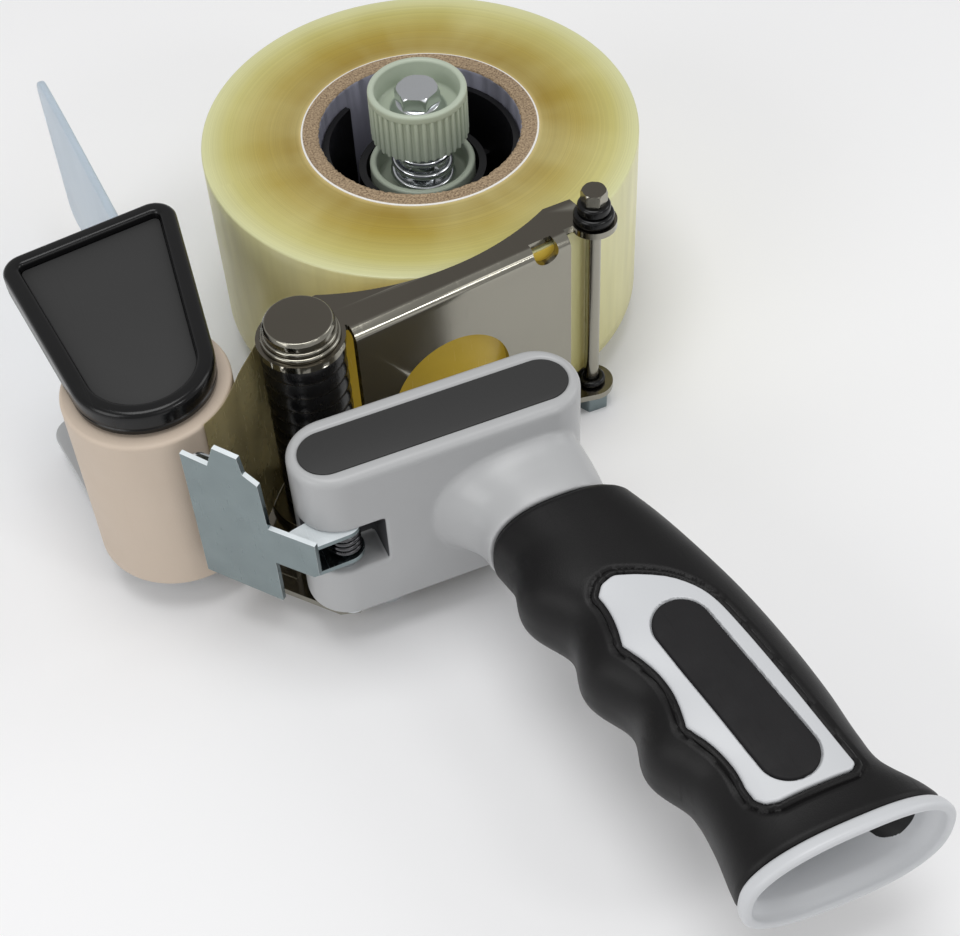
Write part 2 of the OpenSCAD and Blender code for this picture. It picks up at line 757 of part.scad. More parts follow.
module flap_holder() {
    w = 9.2;
    front = 5.6;
    long = 13;
    color([0.1, 0.1, 0.1]) difference() {
        at_flap() translate([-w / 2, -front, low_cheek_z1]) cube([w, long, cheek_z0 - low_cheek_z1]);
        at_flap() translate([-flap_t / 2 - run_fit, -snug, low_cheek_z1 - 1])
            cube([flap_t + 2 * run_fit, 20, tape_w + 20]);
        at_flap() translate([0, -2.8, low_cheek_z1 - 1]) cylinder(r = 1.45, h = tape_w + 20);
    }
}

module wiper_flap() {
    w = tape_w - 1.6;
    r = 3;
    color([0.85, 0.88, 0.9, 0.6]) at_flap() translate([-flap_t / 2, 0, roll_z0 + 1])
        rotate([90, 0, 90]) linear_extrude(flap_t) {
            square([flap_len - r, w]);
            square([flap_len - 0.01, w - 2 * r]);
            translate([0, r]) square([flap_len, w - 2 * r]);
            for (y = [r, w - r]) translate([flap_len - r, y]) circle(r);
        }
}

module fork_screws() {
    color([0.6, 0.6, 0.6]) at_flap() translate([0, -2.8, 0]) {
        translate([0, 0, head_z]) cylinder(r = 2.9, h = 1.4);
        translate([0, 0, head_z - 14]) cylinder(r = 1.4, h = 14.5);
        translate([0, 0, plate_z1 + gap]) cylinder(r = 2.9, h = 1.2);
        translate([0, 0, plate_z1 + gap + 0.5]) cylinder(r = 1.4, h = 14);
    }
}

// guard and blade
module blade_guard() {
    edge = guard_w;
    foot = guard_w + 0.9;
    end = pivot_s - 1;
    color([0.55, 0.6, 0.62]) at_guard() difference() {
        union() {
            upright(0, guard_t) polygon([[0, guard_low + 0.6], [0, guard_top], [6.8, guard_top - 0.8],
                [9, guard_top + 5.8], [15, guard_top + 5.2], [15.7, guard_top + 0.3],
                [edge, guard_top - 1.8], [edge + 0.6, arm_top], [end, arm_top],
                [end, lug_low - lug_t + 1.4], [end - 1.4, lug_low - lug_t], [foot, lug_low - lug_t],
                [foot, guard_low - 0.3]]);
            for (z = [lug_low - lug_t, lug_high]) translate([0, 0, z])
                tri([end - 6.2, 2.1], 1.6, [end - 1.6, 2.1], 1.6, [pivot_s, pivot_n], lug_r, lug_t);
        }
        translate([pivot_s, pivot_n, 0]) cylinder(r = pivot_d / 2 + snug, h = 80);
    }
}

module guard_pivot() {
    color([0.7, 0.7, 0.7]) at(pivot_pos, pill_z0) {
        cylinder(r = pivot_d / 2, h = window_z1 + 6 - pill_z0);
        cylinder(r = pivot_d / 2 + 1.2, h = 2);
    }
}

coil_r = pivot_d / 2 + 1.4;
coil_points = helix(coil_r, coil_r, lug_low + 1, lug_high - 1, guard_turns);
echo(guard_spring_gap = least_gap(coil_points, guard_wire));

module guard_spring() {
    color([0.6, 0.6, 0.62]) at(pivot_pos) wire(coil_points, guard_wire / 2);
}

module cutter_blade() {
    step = (blade_z1 - blade_z0) / blade_teeth;
    color([0.75, 0.76, 0.78]) at_guard() difference() {
        upright(blade_n, blade_t) polygon(concat([[tab_s0 + 9, blade_z0], [tab_s0 + 9, blade_z1]],
            [for (i = [blade_teeth : -1 : 1]) each [[0.8 + tooth, blade_z0 + i * step],
                [0.8, blade_z0 + (i - 0.5) * step]]], [[0.8 + tooth, blade_z0]]));
        for (z = blade_screw_z) translate([tab_s0 + 5, 0, z]) rotate([-90, 0, 0])
            cylinder(r = blade_screw_r + run_fit, h = 10);
    }
}

module blade_screws() {
    color([0.6, 0.6, 0.6]) at_guard() for (z = blade_screw_z) translate([tab_s0 + 5, 0, z]) rotate([-90, 0, 0]) {
        translate([0, 0, blade_n]) cylinder(r = blade_screw_r, h = blade_t + sheet_t + 0.5);
        translate([0, 0, tab_n + sheet_t]) cylinder(r = 2.8, h = 1.6);
    }
}

// housing
module pill_half(r, h, fillet) {
    square([r, h - fillet]);
    square([r - fillet, h]);
    translate([r - fillet, h - fillet]) circle(fillet);
}

module pill_solid(len, r, h, fillet) {
    for (k = [1, -1]) translate([k * len / 2, 0, 0]) rotate(-90 * k)
        rotate_extrude(angle = 180) pill_half(r, h, fillet);
    rotate([90, 0, 90]) translate([0, 0, -len / 2]) linear_extrude(len) {
        pill_half(r, h, fillet);
        mirror([1, 0]) pill_half(r, h, fillet);
    }
}

label_len = pill_len + 2.5;

module housing() {
    h = pill_z1 - pill_z0;
    color([0.75, 0.75, 0.77]) difference() {
        union() {
            at(pill_pos, pill_z0) pill_solid(pill_len, pill_r, h, pill_fillet);
            at(pill_pos, plate_z1) stadium(2 * screw_x + 8, pedestal_r, pill_z0 - plate_z1 + 1);
            housing_neck();
        }
        at(pill_pos, pill_z1 - label_deep) stadium(label_len, pill_r - label_rim, 10);
        at(pivot_pos) translate([-40, -40, window_z0]) cube([49, 46, window_z1 - window_z0]);
        at(pivot_pos, pill_z0 - 1) cylinder(r = pivot_d / 2 + run_fit, h = window_z1 + 7 - pill_z0);
        at(pivot_pos, pill_z0 - 1) cylinder(r = pivot_d / 2 + 1.3, h = 3.1);
        for (x = [-screw_x, screw_x])
            at(pill_pos + [x, 0], 0) cylinder(r = screw_r + run_fit, h = plate_z1 + 16);
    }
}

module housing_label() {
    color([0.24, 0.24, 0.24]) at(pill_pos, pill_z1 - label_deep)
        stadium(label_len, pill_r - label_rim - snug, label_deep - 0.3);
}

module housing_screws() {
    color([0.6, 0.6, 0.6]) for (x = [-screw_x, screw_x]) at(pill_pos + [x, 0]) {
        translate([0, 0, plate_z0 - 2]) cylinder(r = 3.6, h = 2);
        translate([0, 0, plate_z0 - 1]) cylinder(r = screw_r, h = sheet_t + 16);
    }
}

// grip: sections across the grip, front toward -x
grip_n = 32;
front_line = [[0, 0.48], [0.12, 0.475], [0.4, 0.48], [0.77, 0.53], [0.85, 0.572], [0.93, 0.637], [1, 0.686]];
back_line = [[0, 0.417], [0.11, 0.481], [0.24, 0.519], [0.37, 0.535], [0.52, 0.519], [0.66, 0.479],
    [0.78, 0.423], [0.85, 0.413], [0.93, 0.513], [1, 0.542]];
thick_line = [[0, 0.471], [0.2, 0.46], [0.5, 0.46], [0.79, 0.46], [0.92, 0.465], [1, 0.507]];
finger_start = 0.086;
finger_pitch = 0.2245;
fingers = 3;

function finger(u) =
    let (k = (u - finger_start) / finger_pitch)
    (k <= 0 || k >= fingers) ? 0 : finger_depth * (1 - cos(360 * k)) / 2;
function skew(u) = u * grip_len * tan(grip_lean);
function bow(c, p) = sign(c) * pow(abs(c), p);
function oval(front, back, half, shift = 0) =
    [for (i = [0 : grip_n - 1]) let (a = 360 * i / grip_n, c = bow(cos(a), 0.8))
        [shift + c * (c > 0 ? back : front), half * bow(sin(a), 0.8)]];
// loop at distance d along the grip, grown by g; fingers only where wave is 1
function grip_loop(d, g, wave = 1) =
    let (u = d / grip_len)
    [for (p = oval(grip_depth * curve(u, front_line) + wave * finger(u) + g,
        grip_depth * curve(u, back_line) + g, grip_thick * curve(u, thick_line) + g, skew(u))) [p[0], -d, p[1]]];

collar = 1.2;
sleeve_end = grip_len - rim_len;
function steps(a, b, n) = [for (i = [0 : n]) a + (b - a) * i / n];

module housing_neck() {
    reach = neck_len + 4;
    lines = [[-collar, 0.47, 0.305, 0.46], [-collar + 2, 0.475, 0.315, 0.475], [3, 0.48, 0.32, 0.485],
        [6, 0.51, 0.325, 0.495], [10, 0.59, 0.325, 0.515], [13, 0.66, 0.315, 0.555], [reach, 0.7, 0.28, 0.6]];
    at_grip(mid_z) loft([for (k = [len(lines) - 1 : -1 : 0]) let (l = lines[k])
        [for (p = oval(grip_depth * l[1], grip_depth * l[2], grip_thick * l[3])) [p[0], l[0], p[1]]]]);
}

module grip_core() {
    outer = [for (d = steps(collar, sleeve_end, 12)) grip_loop(d, -sleeve_t - snug, 0)];
    rim = [for (d = [sleeve_end, sleeve_end + 1, grip_len - 1]) grip_loop(d, d == sleeve_end ? -0.8 : 0.2, 0)];
    lip = [grip_loop(grip_len, -0.8, 0), grip_loop(grip_len, -3, 0), grip_loop(grip_len - 2, -3.8, 0)];
    inner = [for (d = steps(sleeve_end - 2, collar + 3, 10)) grip_loop(d, -sleeve_t - snug - core_t, 0)];
    color([0.75, 0.75, 0.77]) at_grip(mid_z) loft(concat(outer, rim, lip, inner));
}

// layer of the grip's upper side between two depths
module inlay_slab(g0, g1) {
    n = 15;
    ds = steps(0.2 * grip_len, 0.95 * grip_len, 18);
    m = len(ds);
    row = 2 * n;
    points = [for (d = ds, g = [g0, g1]) let (l = grip_loop(d, g)) each [for (i = [1 : n]) l[i]]];
    function flat(a, b, c, d) = [[a, b, c], [a, c, d]];
    layers = [for (i = [0 : m - 2], j = [0 : n - 2]) let (a = i * row + j, b = a + row)
        each concat(flat(a, a + 1, b + 1, b), flat(a + n, b + n, b + n + 1, a + n + 1))];
    flanks = [for (i = [0 : m - 2]) let (a = i * row, b = a + row)
        each concat(flat(a, b, b + n, a + n), flat(a + n - 1, a + row - 1, b + row - 1, b + n - 1))];
    ends = [for (j = [0 : n - 2]) let (a = j, b = (m - 1) * row + j)
        each concat(flat(a, a + n, a + n + 1, a + 1), flat(b, b + 1, b + n + 1, b + n))];
    polyhedron(points, concat(layers, flanks, ends));
}

// inlay outline grown by g: front edge scalloped with the fingers, back edge one sweep
inlay_back = [[0.28, -0.8], [0.3, 2.6], [0.32, 5.2], [0.36, 8.1], [0.4, 9.3], [0.46, 9.5], [0.6, 8.9], [0.86, 7]];
scallop = 2.5;

module inlay2d(g) {
    u0 = 0.262;
    u1 = 0.871;
    function spot(x, u, up = 0) = [x + skew(u), -u * grip_len + up];
    front = [for (u = steps(u0 + 0.03, u1 - 0.025, 24)) let (k = min((u - finger_start) / finger_pitch, fingers + 0.25))
        spot(-9.8 - 4.9 * (u - u0) - scallop * (1 - abs(cos(180 * k))) - g, u)];
    back = [for (u = steps(u1 - 0.012, u0 + 0.018, 16)) spot(curve(u, inlay_back) + g, u)];
    polygon(concat([spot(-4.8, u0, g), spot(-8 - g, u0 + 0.009, g)], front,
        [spot(-12.4 - g, u1 - 0.008, -g), spot(-10.4, u1, -g), spot(5.4, u1, -g)], back));
}

badge_u = 0.611;
badge_turn = 2.5;

module badge_prism(g) {
    translate([skew(badge_u) - 1.4, -badge_u * grip_len, 0]) rotate(90 + grip_lean - badge_turn)
        stadium(badge_len, badge_r + g, grip_thick);
}

module grip_sleeve() {
    outer = [for (d = steps(collar + 0.2, sleeve_end - 0.2, 27)) grip_loop(d, 0)];
    inner = [for (d = steps(sleeve_end - 0.2, collar + 0.2, 12)) grip_loop(d, -sleeve_t, 0)];
    color([0.1, 0.1, 0.1]) at_grip(mid_z) difference() {
        loft(concat(outer, inner), true);
        intersection() {
            linear_extrude(grip_thick) inlay2d(0.5);
            inlay_slab(-inlay_t - snug, 2);
        }
    }
}

module grip_inlay() {
    color([0.7, 0.7, 0.72]) at_grip(mid_z) difference() {
        intersection() {
            linear_extrude(grip_thick) inlay2d(0);
            inlay_slab(-inlay_t, 0.2);
        }
        intersection() {
            badge_prism(0.15);
            inlay_slab(-inlay_t / 2, 2);
        }
    }
}

module grip_badge() {
    color([0.2, 0.2, 0.2]) at_grip(mid_z) intersection() {
        badge_prism(0);
        inlay_slab(-inlay_t / 2 + 0.02, 0.5);
    }
}

base_plate();
web_bracket();
bracket_rivets();
spindle();
spindle_collar();
brake_cup();
brake_spring();
brake_washer();
brake_knob();
brake_bolt();
core_hub();
tape_core();
tape_roll();
tape_leader();
tension_axle();
cap_washers();
tension_roller();
tension_bush();
tension_seat();
applicator_rubber();
applicator_core();
applicator_axle();
guide_pin();
pin_washers();
pin_seal();
lower_washers();
lower_nuts();
lower_cheek();
upper_cheek();
cheek_panel();
flap_holder();
wiper_flap();
fork_screws();
blade_guard();
guard_pivot();
guard_spring();
cutter_blade();
blade_screws();
housing();
housing_label();
housing_screws();
grip_core();
grip_sleeve();
grip_inlay();
grip_badge();
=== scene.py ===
import json
from math import acos, atan2, copysign, cos, hypot, pi, radians, sin, sqrt, tan, tau
from types import SimpleNamespace

import bmesh
import bpy
import numpy as np
from mathutils import Matrix, Vector

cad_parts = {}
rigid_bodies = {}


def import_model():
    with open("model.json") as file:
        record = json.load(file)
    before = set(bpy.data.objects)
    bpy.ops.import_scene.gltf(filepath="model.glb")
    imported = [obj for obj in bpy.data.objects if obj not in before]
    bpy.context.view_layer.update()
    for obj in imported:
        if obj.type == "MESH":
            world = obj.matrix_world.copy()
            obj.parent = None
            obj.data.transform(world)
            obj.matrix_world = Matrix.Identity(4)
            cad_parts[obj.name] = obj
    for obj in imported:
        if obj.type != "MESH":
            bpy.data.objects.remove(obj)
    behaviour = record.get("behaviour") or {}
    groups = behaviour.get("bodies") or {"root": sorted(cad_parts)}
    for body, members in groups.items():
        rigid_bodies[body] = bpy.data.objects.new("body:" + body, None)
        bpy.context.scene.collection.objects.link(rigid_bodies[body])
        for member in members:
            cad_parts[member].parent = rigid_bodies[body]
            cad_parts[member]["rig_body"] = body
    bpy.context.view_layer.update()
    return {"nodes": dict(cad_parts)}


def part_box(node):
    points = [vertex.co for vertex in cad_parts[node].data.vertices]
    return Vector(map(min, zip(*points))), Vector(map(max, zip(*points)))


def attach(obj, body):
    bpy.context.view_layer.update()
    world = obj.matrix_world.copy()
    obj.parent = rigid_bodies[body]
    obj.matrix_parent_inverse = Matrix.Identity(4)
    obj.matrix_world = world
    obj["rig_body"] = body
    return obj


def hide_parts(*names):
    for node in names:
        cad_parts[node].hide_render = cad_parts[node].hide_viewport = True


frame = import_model()
scene = bpy.context.scene
mm = 0.001  # one millimetre in metres


def middle(node):  # centre of a CAD node in mm
    low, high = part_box(node)
    return (low + high) * 500


def levels(node):  # lowest and highest z of a CAD node in mm
    return [corner.z * 1000 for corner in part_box(node)]


plan = {  # shared centres in mm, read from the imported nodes
    "tension": middle("tension_roller"),
    "applicator": middle("applicator_rubber"),
    "pin": middle("pin_seal"),
    "pill": middle("housing_label"),
    "pivot": middle("guard_pivot"),
    "roll": levels("tape_roll"),
}
plan["half"] = sum(plan["roll"]) / 2 + 1  # middle height of the grip


def footing(name):  # a centre brought down to the floor
    x, y, _ = plan[name]
    return x, y, 0


def sized(make):  # a maker that reads its dictionary by name
    return lambda size: make(SimpleNamespace(**size))


print("frame loaded:", len(frame["nodes"]), "nodes")

# node trees

def add(tree, kind, inputs=None, **settings):  # a node with its values set and its links made
    node = tree.nodes.new(kind)
    for key, value in settings.items():
        setattr(node, key, value)
    for key, value in (inputs or {}).items():
        if isinstance(value, bpy.types.NodeSocket):
            tree.links.new(value, node.inputs[key])
        else:
            node.inputs[key].default_value = value
    return node


def calc(tree, operation, *values):
    return add(tree, "ShaderNodeMath", dict(enumerate(values)), operation=operation).outputs[0]


def combined(tree, *values):
    return add(tree, "ShaderNodeCombineXYZ", dict(enumerate(values))).outputs[0]


def mapped(tree, value, low, high, toLow=0.0, toHigh=1.0):
    return add(tree, "ShaderNodeMapRange", {"Value": value, "From Min": low, "From Max": high,
        "To Min": toLow, "To Max": toHigh}).outputs[0]


def mixed(tree, share, first, second):  # two colours by a mask
    return add(tree, "ShaderNodeMix", {0: share, 6: first, 7: second}, data_type="RGBA").outputs[2]


def shaded(tree, color, value):  # a colour made lighter or darker
    return add(tree, "ShaderNodeHueSaturation", {"Color": color, "Value": value}).outputs["Color"]


def noise(tree, vector, detail, scale=1.0):
    return add(tree, "ShaderNodeTexNoise", {"Vector": vector, "Scale": scale, "Detail": detail}).outputs["Fac"]


def stretched(tree, vector, scale, turn=(0, 0, 0)):
    return add(tree, "ShaderNodeMapping", {"Vector": vector, "Rotation": turn, "Scale": scale}).outputs[0]


def scaledCoords(tree, size):  # object coordinates in units of size mm
    coords = add(tree, "ShaderNodeTexCoord").outputs["Object"]
    factor = calc(tree, "DIVIDE", 1000.0, size)
    return add(tree, "ShaderNodeVectorMath", {0: coords, 3: factor}, operation="SCALE").outputs[0]


def normalUp(tree):  # z of the surface normal
    facing = add(tree, "ShaderNodeTexCoord").outputs["Normal"]
    return add(tree, "ShaderNodeSeparateXYZ", {0: facing}).outputs[2]


def socketWord(value):  # kind of socket that holds a value
    return {float: "Float", int: "Int"}.get(type(value)) or {3: "Vector", 4: "Color"}[len(value)]


def newGroup(name, kind, inputs, outputs):  # an input is its default value, or a word for its kind
    group = bpy.data.node_groups.new(name, kind)
    for label, value in inputs.items():
        word = value if isinstance(value, str) else socketWord(value)
        socket = group.interface.new_socket(label, in_out="INPUT", socket_type="NodeSocket" + word)
        if word != value:
            socket.default_value = value
    for label, word in outputs.items():
        group.interface.new_socket(label, in_out="OUTPUT", socket_type="NodeSocket" + word)
    return group, group.nodes.new("NodeGroupInput").outputs, group.nodes.new("NodeGroupOutput").inputs


def tone(red, green, blue):  # display colour 0-255 to linear
    values = [c / 255 for c in (red, green, blue)]
    return tuple(c / 12.92 if c <= 0.04045 else ((c + 0.055) / 1.055) ** 2.4 for c in values) + (1.0,)


def buildToneDrift():  # slow lighter and darker patches over a colour
    tree, ins, outs = newGroup("toneDrift", "ShaderNodeTree",
        {"Color": (0.5, 0.5, 0.5, 1), "Size": 20.0, "Amount": 0.05}, {"Color": "Color"})
    swing = calc(tree, "SUBTRACT", noise(tree, scaledCoords(tree, ins["Size"]), 4.0), 0.5)
    value = calc(tree, "MULTIPLY_ADD", swing, ins["Amount"], 1.0)
    tree.links.new(shaded(tree, ins["Color"], value), outs["Color"])
    return tree


def buildFineGrain():  # height of a moulded or cast skin
    tree, ins, outs = newGroup("fineGrain", "ShaderNodeTree", {"Size": 0.4}, {"Height": "Float"})
    coords = scaledCoords(tree, ins["Size"])
    cells = add(tree, "ShaderNodeTexVoronoi", {"Vector": coords, "Scale": 1.0}, feature="SMOOTH_F1")
    both = calc(tree, "ADD", cells.outputs["Distance"], noise(tree, coords, 3.0, 1.6))
    tree.links.new(both, outs["Height"])
    return tree


def buildScuffs():  # roughness that wanders, with thin rubbed streaks
    tree, ins, outs = newGroup("scuffs", "ShaderNodeTree", {"Size": 12.0, "Low": 0.3, "High": 0.45},
        {"Roughness": "Float"})
    coords = scaledCoords(tree, ins["Size"])
    streaks = noise(tree, stretched(tree, coords, (14.0, 0.7, 1.1), (0.3, 0.5, 0.9)), 2.0)
    thin = mapped(tree, streaks, 0.62, 0.74)
    both = calc(tree, "MULTIPLY_ADD", thin, 0.4, noise(tree, coords, 5.0))
    tree.links.new(mapped(tree, both, 0.3, 0.85, ins["Low"], ins["High"]), outs["Roughness"])
    return tree


def buildTurnLines():  # radius from the roll's axis, angle round it, fine rings and height, in mm
    names = ("Radius", "Angle", "Lines", "Height")
    tree, ins, outs = newGroup("turnLines", "ShaderNodeTree", {"Pitch": 0.4}, dict.fromkeys(names, "Float"))
    x, y, z = add(tree, "ShaderNodeSeparateXYZ", {0: scaledCoords(tree, 1.0)}).outputs
    flat = combined(tree, x, y)
    radius = add(tree, "ShaderNodeVectorMath", {0: flat}, operation="LENGTH").outputs["Value"]
    angle = calc(tree, "ARCTAN2", y, x)
    spot = combined(tree, calc(tree, "DIVIDE", radius, ins["Pitch"]), calc(tree, "MULTIPLY", angle, 0.35),
        calc(tree, "MULTIPLY", z, 0.03))
    for name, socket in zip(names, (radius, angle, noise(tree, spot, 3.0), z)):
        tree.links.new(socket, outs[name])
    return tree


toneDrift, fineGrain, scuffs, turnLines = buildToneDrift(), buildFineGrain(), buildScuffs(), buildTurnLines()
paintedTopShadeShare = (0.975, 0.998)  # how far up a face looks before it takes the painted shade tint
grainDepth = 0.0002


def group(tree, nodeTree, name, **inputs):
    return add(tree, "ShaderNodeGroup", inputs, node_tree=nodeTree, name=name)


def finish(name, tint, drift, rough, grain, fixed=None, paintedTopShade=None):  # drifting colour, wandering gloss and grain, with an optional painted shade on faces that look up
    mat = bpy.data.materials.new(name)
    mat.use_nodes = True
    tree = mat.node_tree
    shader = tree.nodes["Principled BSDF"]
    for socket, value in (fixed or {}).items():
        shader.inputs[socket].default_value = value
    color = tone(*tint)
    if paintedTopShade:  # painted shade: faces turned up are darkened as if they mirrored a dim ceiling
        color = mixed(tree, mapped(tree, normalUp(tree), *paintedTopShadeShare), color, tone(*paintedTopShade))
    painted = group(tree, toneDrift, "drift", Color=color, Size=drift[0], Amount=drift[1])
    tree.links.new(painted.outputs["Color"], shader.inputs["Base Color"])
    worn = group(tree, scuffs, "wear", Size=rough[0], Low=rough[1], High=rough[2])
    tree.links.new(worn.outputs["Roughness"], shader.inputs["Roughness"])
    height = group(tree, fineGrain, "grain", Size=grain[0]).outputs["Height"]
    bump = add(tree, "ShaderNodeBump", {"Height": height, "Strength": grain[1], "Distance": grainDepth}, name="bump")
    tree.links.new(bump.outputs[0], shader.inputs["Normal"])
    return mat


metal = {"Metallic": 1.0}
dull = {"Specular IOR Level": 0.3}
finishes = {  # tint 0-255; drift size mm, amount; rough size mm, low, high; grain size mm, strength; fixed; painted shade tint for faces that look up
    # the last colour here is a painted shade for the flat tops
    "nickelPlate": ((158, 155, 144), (30, 0.1), (16, 0.13, 0.24), (0.5, 0.015), metal, (112, 107, 98)),
    "zincSheet": ((130, 142, 144), (7, 0.3), (6, 0.17, 0.32), (0.7, 0.03), metal),
    # painted highlight: a pale non-metal finish that makes edges look bright
    "paintedEdgeHighlight": ((226, 233, 236), (5, 0.2), (4, 0.2, 0.34), (0.5, 0.02)),
    "brightSteel": ((214, 217, 220), (8, 0.08), (5, 0.1, 0.2), (0.4, 0.015), metal),
    "springDark": ((92, 92, 94), (5, 0.2), (4, 0.2, 0.34), (0.4, 0.02), metal),
    "bushBronze": ((170, 132, 84), (8, 0.15), (6, 0.3, 0.45), (0.3, 0.06), metal),
    "sagePlastic": ((178, 188, 170), (12, 0.06), (8, 0.36, 0.5), (0.35, 0.05)),
    "hubBlack": ((13, 13, 15), (14, 0.2), (10, 0.32, 0.5), (0.4, 0.06), {"Specular IOR Level": 0.35}),
    "cheekBlack": ((10, 10, 11), (16, 0.2), (14, 0.18, 0.3), (0.5, 0.03), {"Specular IOR Level": 0.34}),
    "rollerBlack": ((12, 12, 14), (6, 0.3), (4, 0.2, 0.36), (0.4, 0.08)),
    "gripRubber": ((11, 10, 11), (18, 0.24), (12, 0.4, 0.54), (0.28, 0.14), {"Specular IOR Level": 0.26}),
    "beigeRubber": ((201, 185, 168), (14, 0.07), (10, 0.5, 0.7), (0.5, 0.1)),
    "greyPlastic": ((176, 177, 178), (26, 0.03), (18, 0.32, 0.42), (0.4, 0.03)),
    "windowShade": ((74, 74, 77), (12, 0.1), (14, 0.4, 0.5), (0.4, 0.03)),
    "inlayPlastic": ((204, 206, 209), (20, 0.03), (14, 0.34, 0.46), (0.4, 0.03)),
    "charcoalPlate": ((50, 50, 50), (18, 0.08), (10, 0.44, 0.58), (0.22, 0.06), dull),
    "badgeBlack": ((19, 18, 20), (8, 0.2), (6, 0.55, 0.7), (0.3, 0.2), dull),
    "coreLiner": ((150, 150, 166), (14, 0.3), (8, 0.35, 0.5), (0.6, 0.06)),
    "clearFlap": ((206, 219, 230), (26, 0.12), (18, 0.32, 0.44), (1.2, 0.0), {"Transmission Weight": 0.3, "IOR": 1.45}),
    "clearFilm": ((176, 165, 124), (9, 0.25), (7, 0.2, 0.34), (2.5, 0.1),
        {"Transmission Weight": 0.5, "IOR": 1.1, "Coat Weight": 0.2}),
    # painted glow: a lit copy of the film that gives off light
    "litFilm": ((204, 178, 78), (8, 0.3), (7, 0.18, 0.3), (2.5, 0.1),
        {"Emission Color": tone(206, 172, 60), "Emission Strength": 0.22, "Coat Weight": 0.2}),
    "paleFloor": ((246, 246, 247), (400, 0.01), (300, 0.85, 0.95), (3, 0.0)),
}
mats = {name: finish(name, *row) for name, row in finishes.items()}

tapeLook = {  # colour stops go across the windings, core first
    # painted glow: the emission strength here and the inner colour make the round side give off light
    "surface": ((200, 190, 130), (22, 0.05), (12, 0.3, 0.42), (0.6, 0.1),
        {"Coat Weight": 0.12, "Coat Roughness": 0.2, "Emission Strength": 0.07}),
    "core": 30.0, "width": 25.0, "pitch": 0.2,
    "stops": [(0.0, (192, 169, 106)), (0.04, (158, 136, 64)), (0.13, (150, 126, 42)), (0.4, (164, 143, 53)),
        (0.75, (187, 179, 105)), (1.0, (209, 210, 162))],
    "paintedSheen": (222, 220, 166), "paintedSheenShare": 0.32, "lineShade": (0.92, 1.08),
    "sideLow": (186, 184, 130), "sideHigh": (210, 210, 164), "sideRise": (10.0, 60.0), "sideShade": (0.88, 1.1),
    "inner": (206, 172, 60),
}


def buildTape(name, look):  # ringed windings with painted glare on the flat ends, streaked film with a painted glow on the round side
    mat = finish(name, *look["surface"])
    tree = mat.node_tree
    rings = group(tree, turnLines, "rings", Pitch=look["pitch"]).outputs
    across = mapped(tree, rings["Radius"], look["core"], look["core"] + look["width"])
    ramp = add(tree, "ShaderNodeValToRGB", {"Fac": across})
    stops = ramp.color_ramp.elements
    while len(stops) < len(look["stops"]):
        stops.new(0.5)
    for element, (spot, color) in zip(stops, look["stops"]):
        element.position, element.color = spot, tone(*color)
    # painted glare: paler patches by angle over the flat ends
    about = combined(tree, rings["Angle"], calc(tree, "MULTIPLY", rings["Radius"], 0.012))
    paintedSheenPatches = mapped(tree, noise(tree, about, 3.0, 1.3), 0.4, 0.7, 0.0, look["paintedSheenShare"])
    lit = mixed(tree, paintedSheenPatches, ramp.outputs["Color"], tone(*look["paintedSheen"]))
    lined = shaded(tree, lit, mapped(tree, rings["Lines"], 0.3, 0.7, *look["lineShade"]))
    rise = mapped(tree, rings["Height"], *look["sideRise"])
    side = mixed(tree, rise, tone(*look["sideLow"]), tone(*look["sideHigh"]))
    streaks = noise(tree, stretched(tree, combined(tree, rings["Angle"], rise), (9.0, 0.8, 1.0)), 4.0)
    clouded = shaded(tree, side, mapped(tree, streaks, 0.3, 0.7, *look["sideShade"]))
    onTop = mapped(tree, calc(tree, "ABSOLUTE", normalUp(tree)), 0.4, 0.7)
    tree.links.new(mixed(tree, onTop, clouded, lined), tree.nodes["drift"].inputs["Color"])
    tree.links.new(rings["Lines"], tree.nodes["bump"].inputs["Height"])
    paintedGlow = mixed(tree, onTop, tone(*look["inner"]), (0, 0, 0, 1))  # painted glow on the round side, an emission that stands in for light coming out of the windings
    tree.links.new(paintedGlow, tree.nodes["Principled BSDF"].inputs["Emission Color"])
    return mat


cardLook = {
    "surface": ((176, 154, 126), (6, 0.12), (6, 0.75, 0.92), (0.35, 0.6), {"Specular IOR Level": 0.25}),
    "light": (176, 154, 126), "dark": (84, 66, 48), "pale": (236, 234, 230), "wrap": (29.5, 29.62), "pitch": 0.5,
    "fibre": 0.5,
}


def buildCard(name, look):  # speckled card with a pale wrap at the outer edge
    mat = finish(name, *look["surface"])
    tree = mat.node_tree
    rings = group(tree, turnLines, "rings", Pitch=look["pitch"]).outputs
    speck = mapped(tree, noise(tree, scaledCoords(tree, look["fibre"]), 5.0), 0.3, 0.68)
    layers = calc(tree, "MULTIPLY_ADD", rings["Lines"], 0.35, speck)
    card = mixed(tree, layers, tone(*look["dark"]), tone(*look["light"]))
    edge = mapped(tree, rings["Radius"], *look["wrap"])
    tree.links.new(mixed(tree, edge, card, tone(*look["pale"])), tree.nodes["drift"].inputs["Color"])
    return mat


mats["woundTape"] = buildTape("woundTape", tapeLook)
mats["card"] = buildCard("card", cardLook)
print("finishes built:", len(mats))

# mesh helpers, all sizes in mm

arcMarks = (0.5, 1.0, 1.57)  # a coarse quarter turn


def quarter(count):
    return np.linspace(0, pi / 2, count)


def smooth(obj, sharp):
    obj.data.polygons.foreach_set("use_smooth", [True] * len(obj.data.polygons))
    obj.data.set_sharp_from_angle(angle=radians(sharp))
    return obj


def link(name, mesh):
    obj = bpy.data.objects.new(name, mesh)
    scene.collection.objects.link(obj)
    return obj


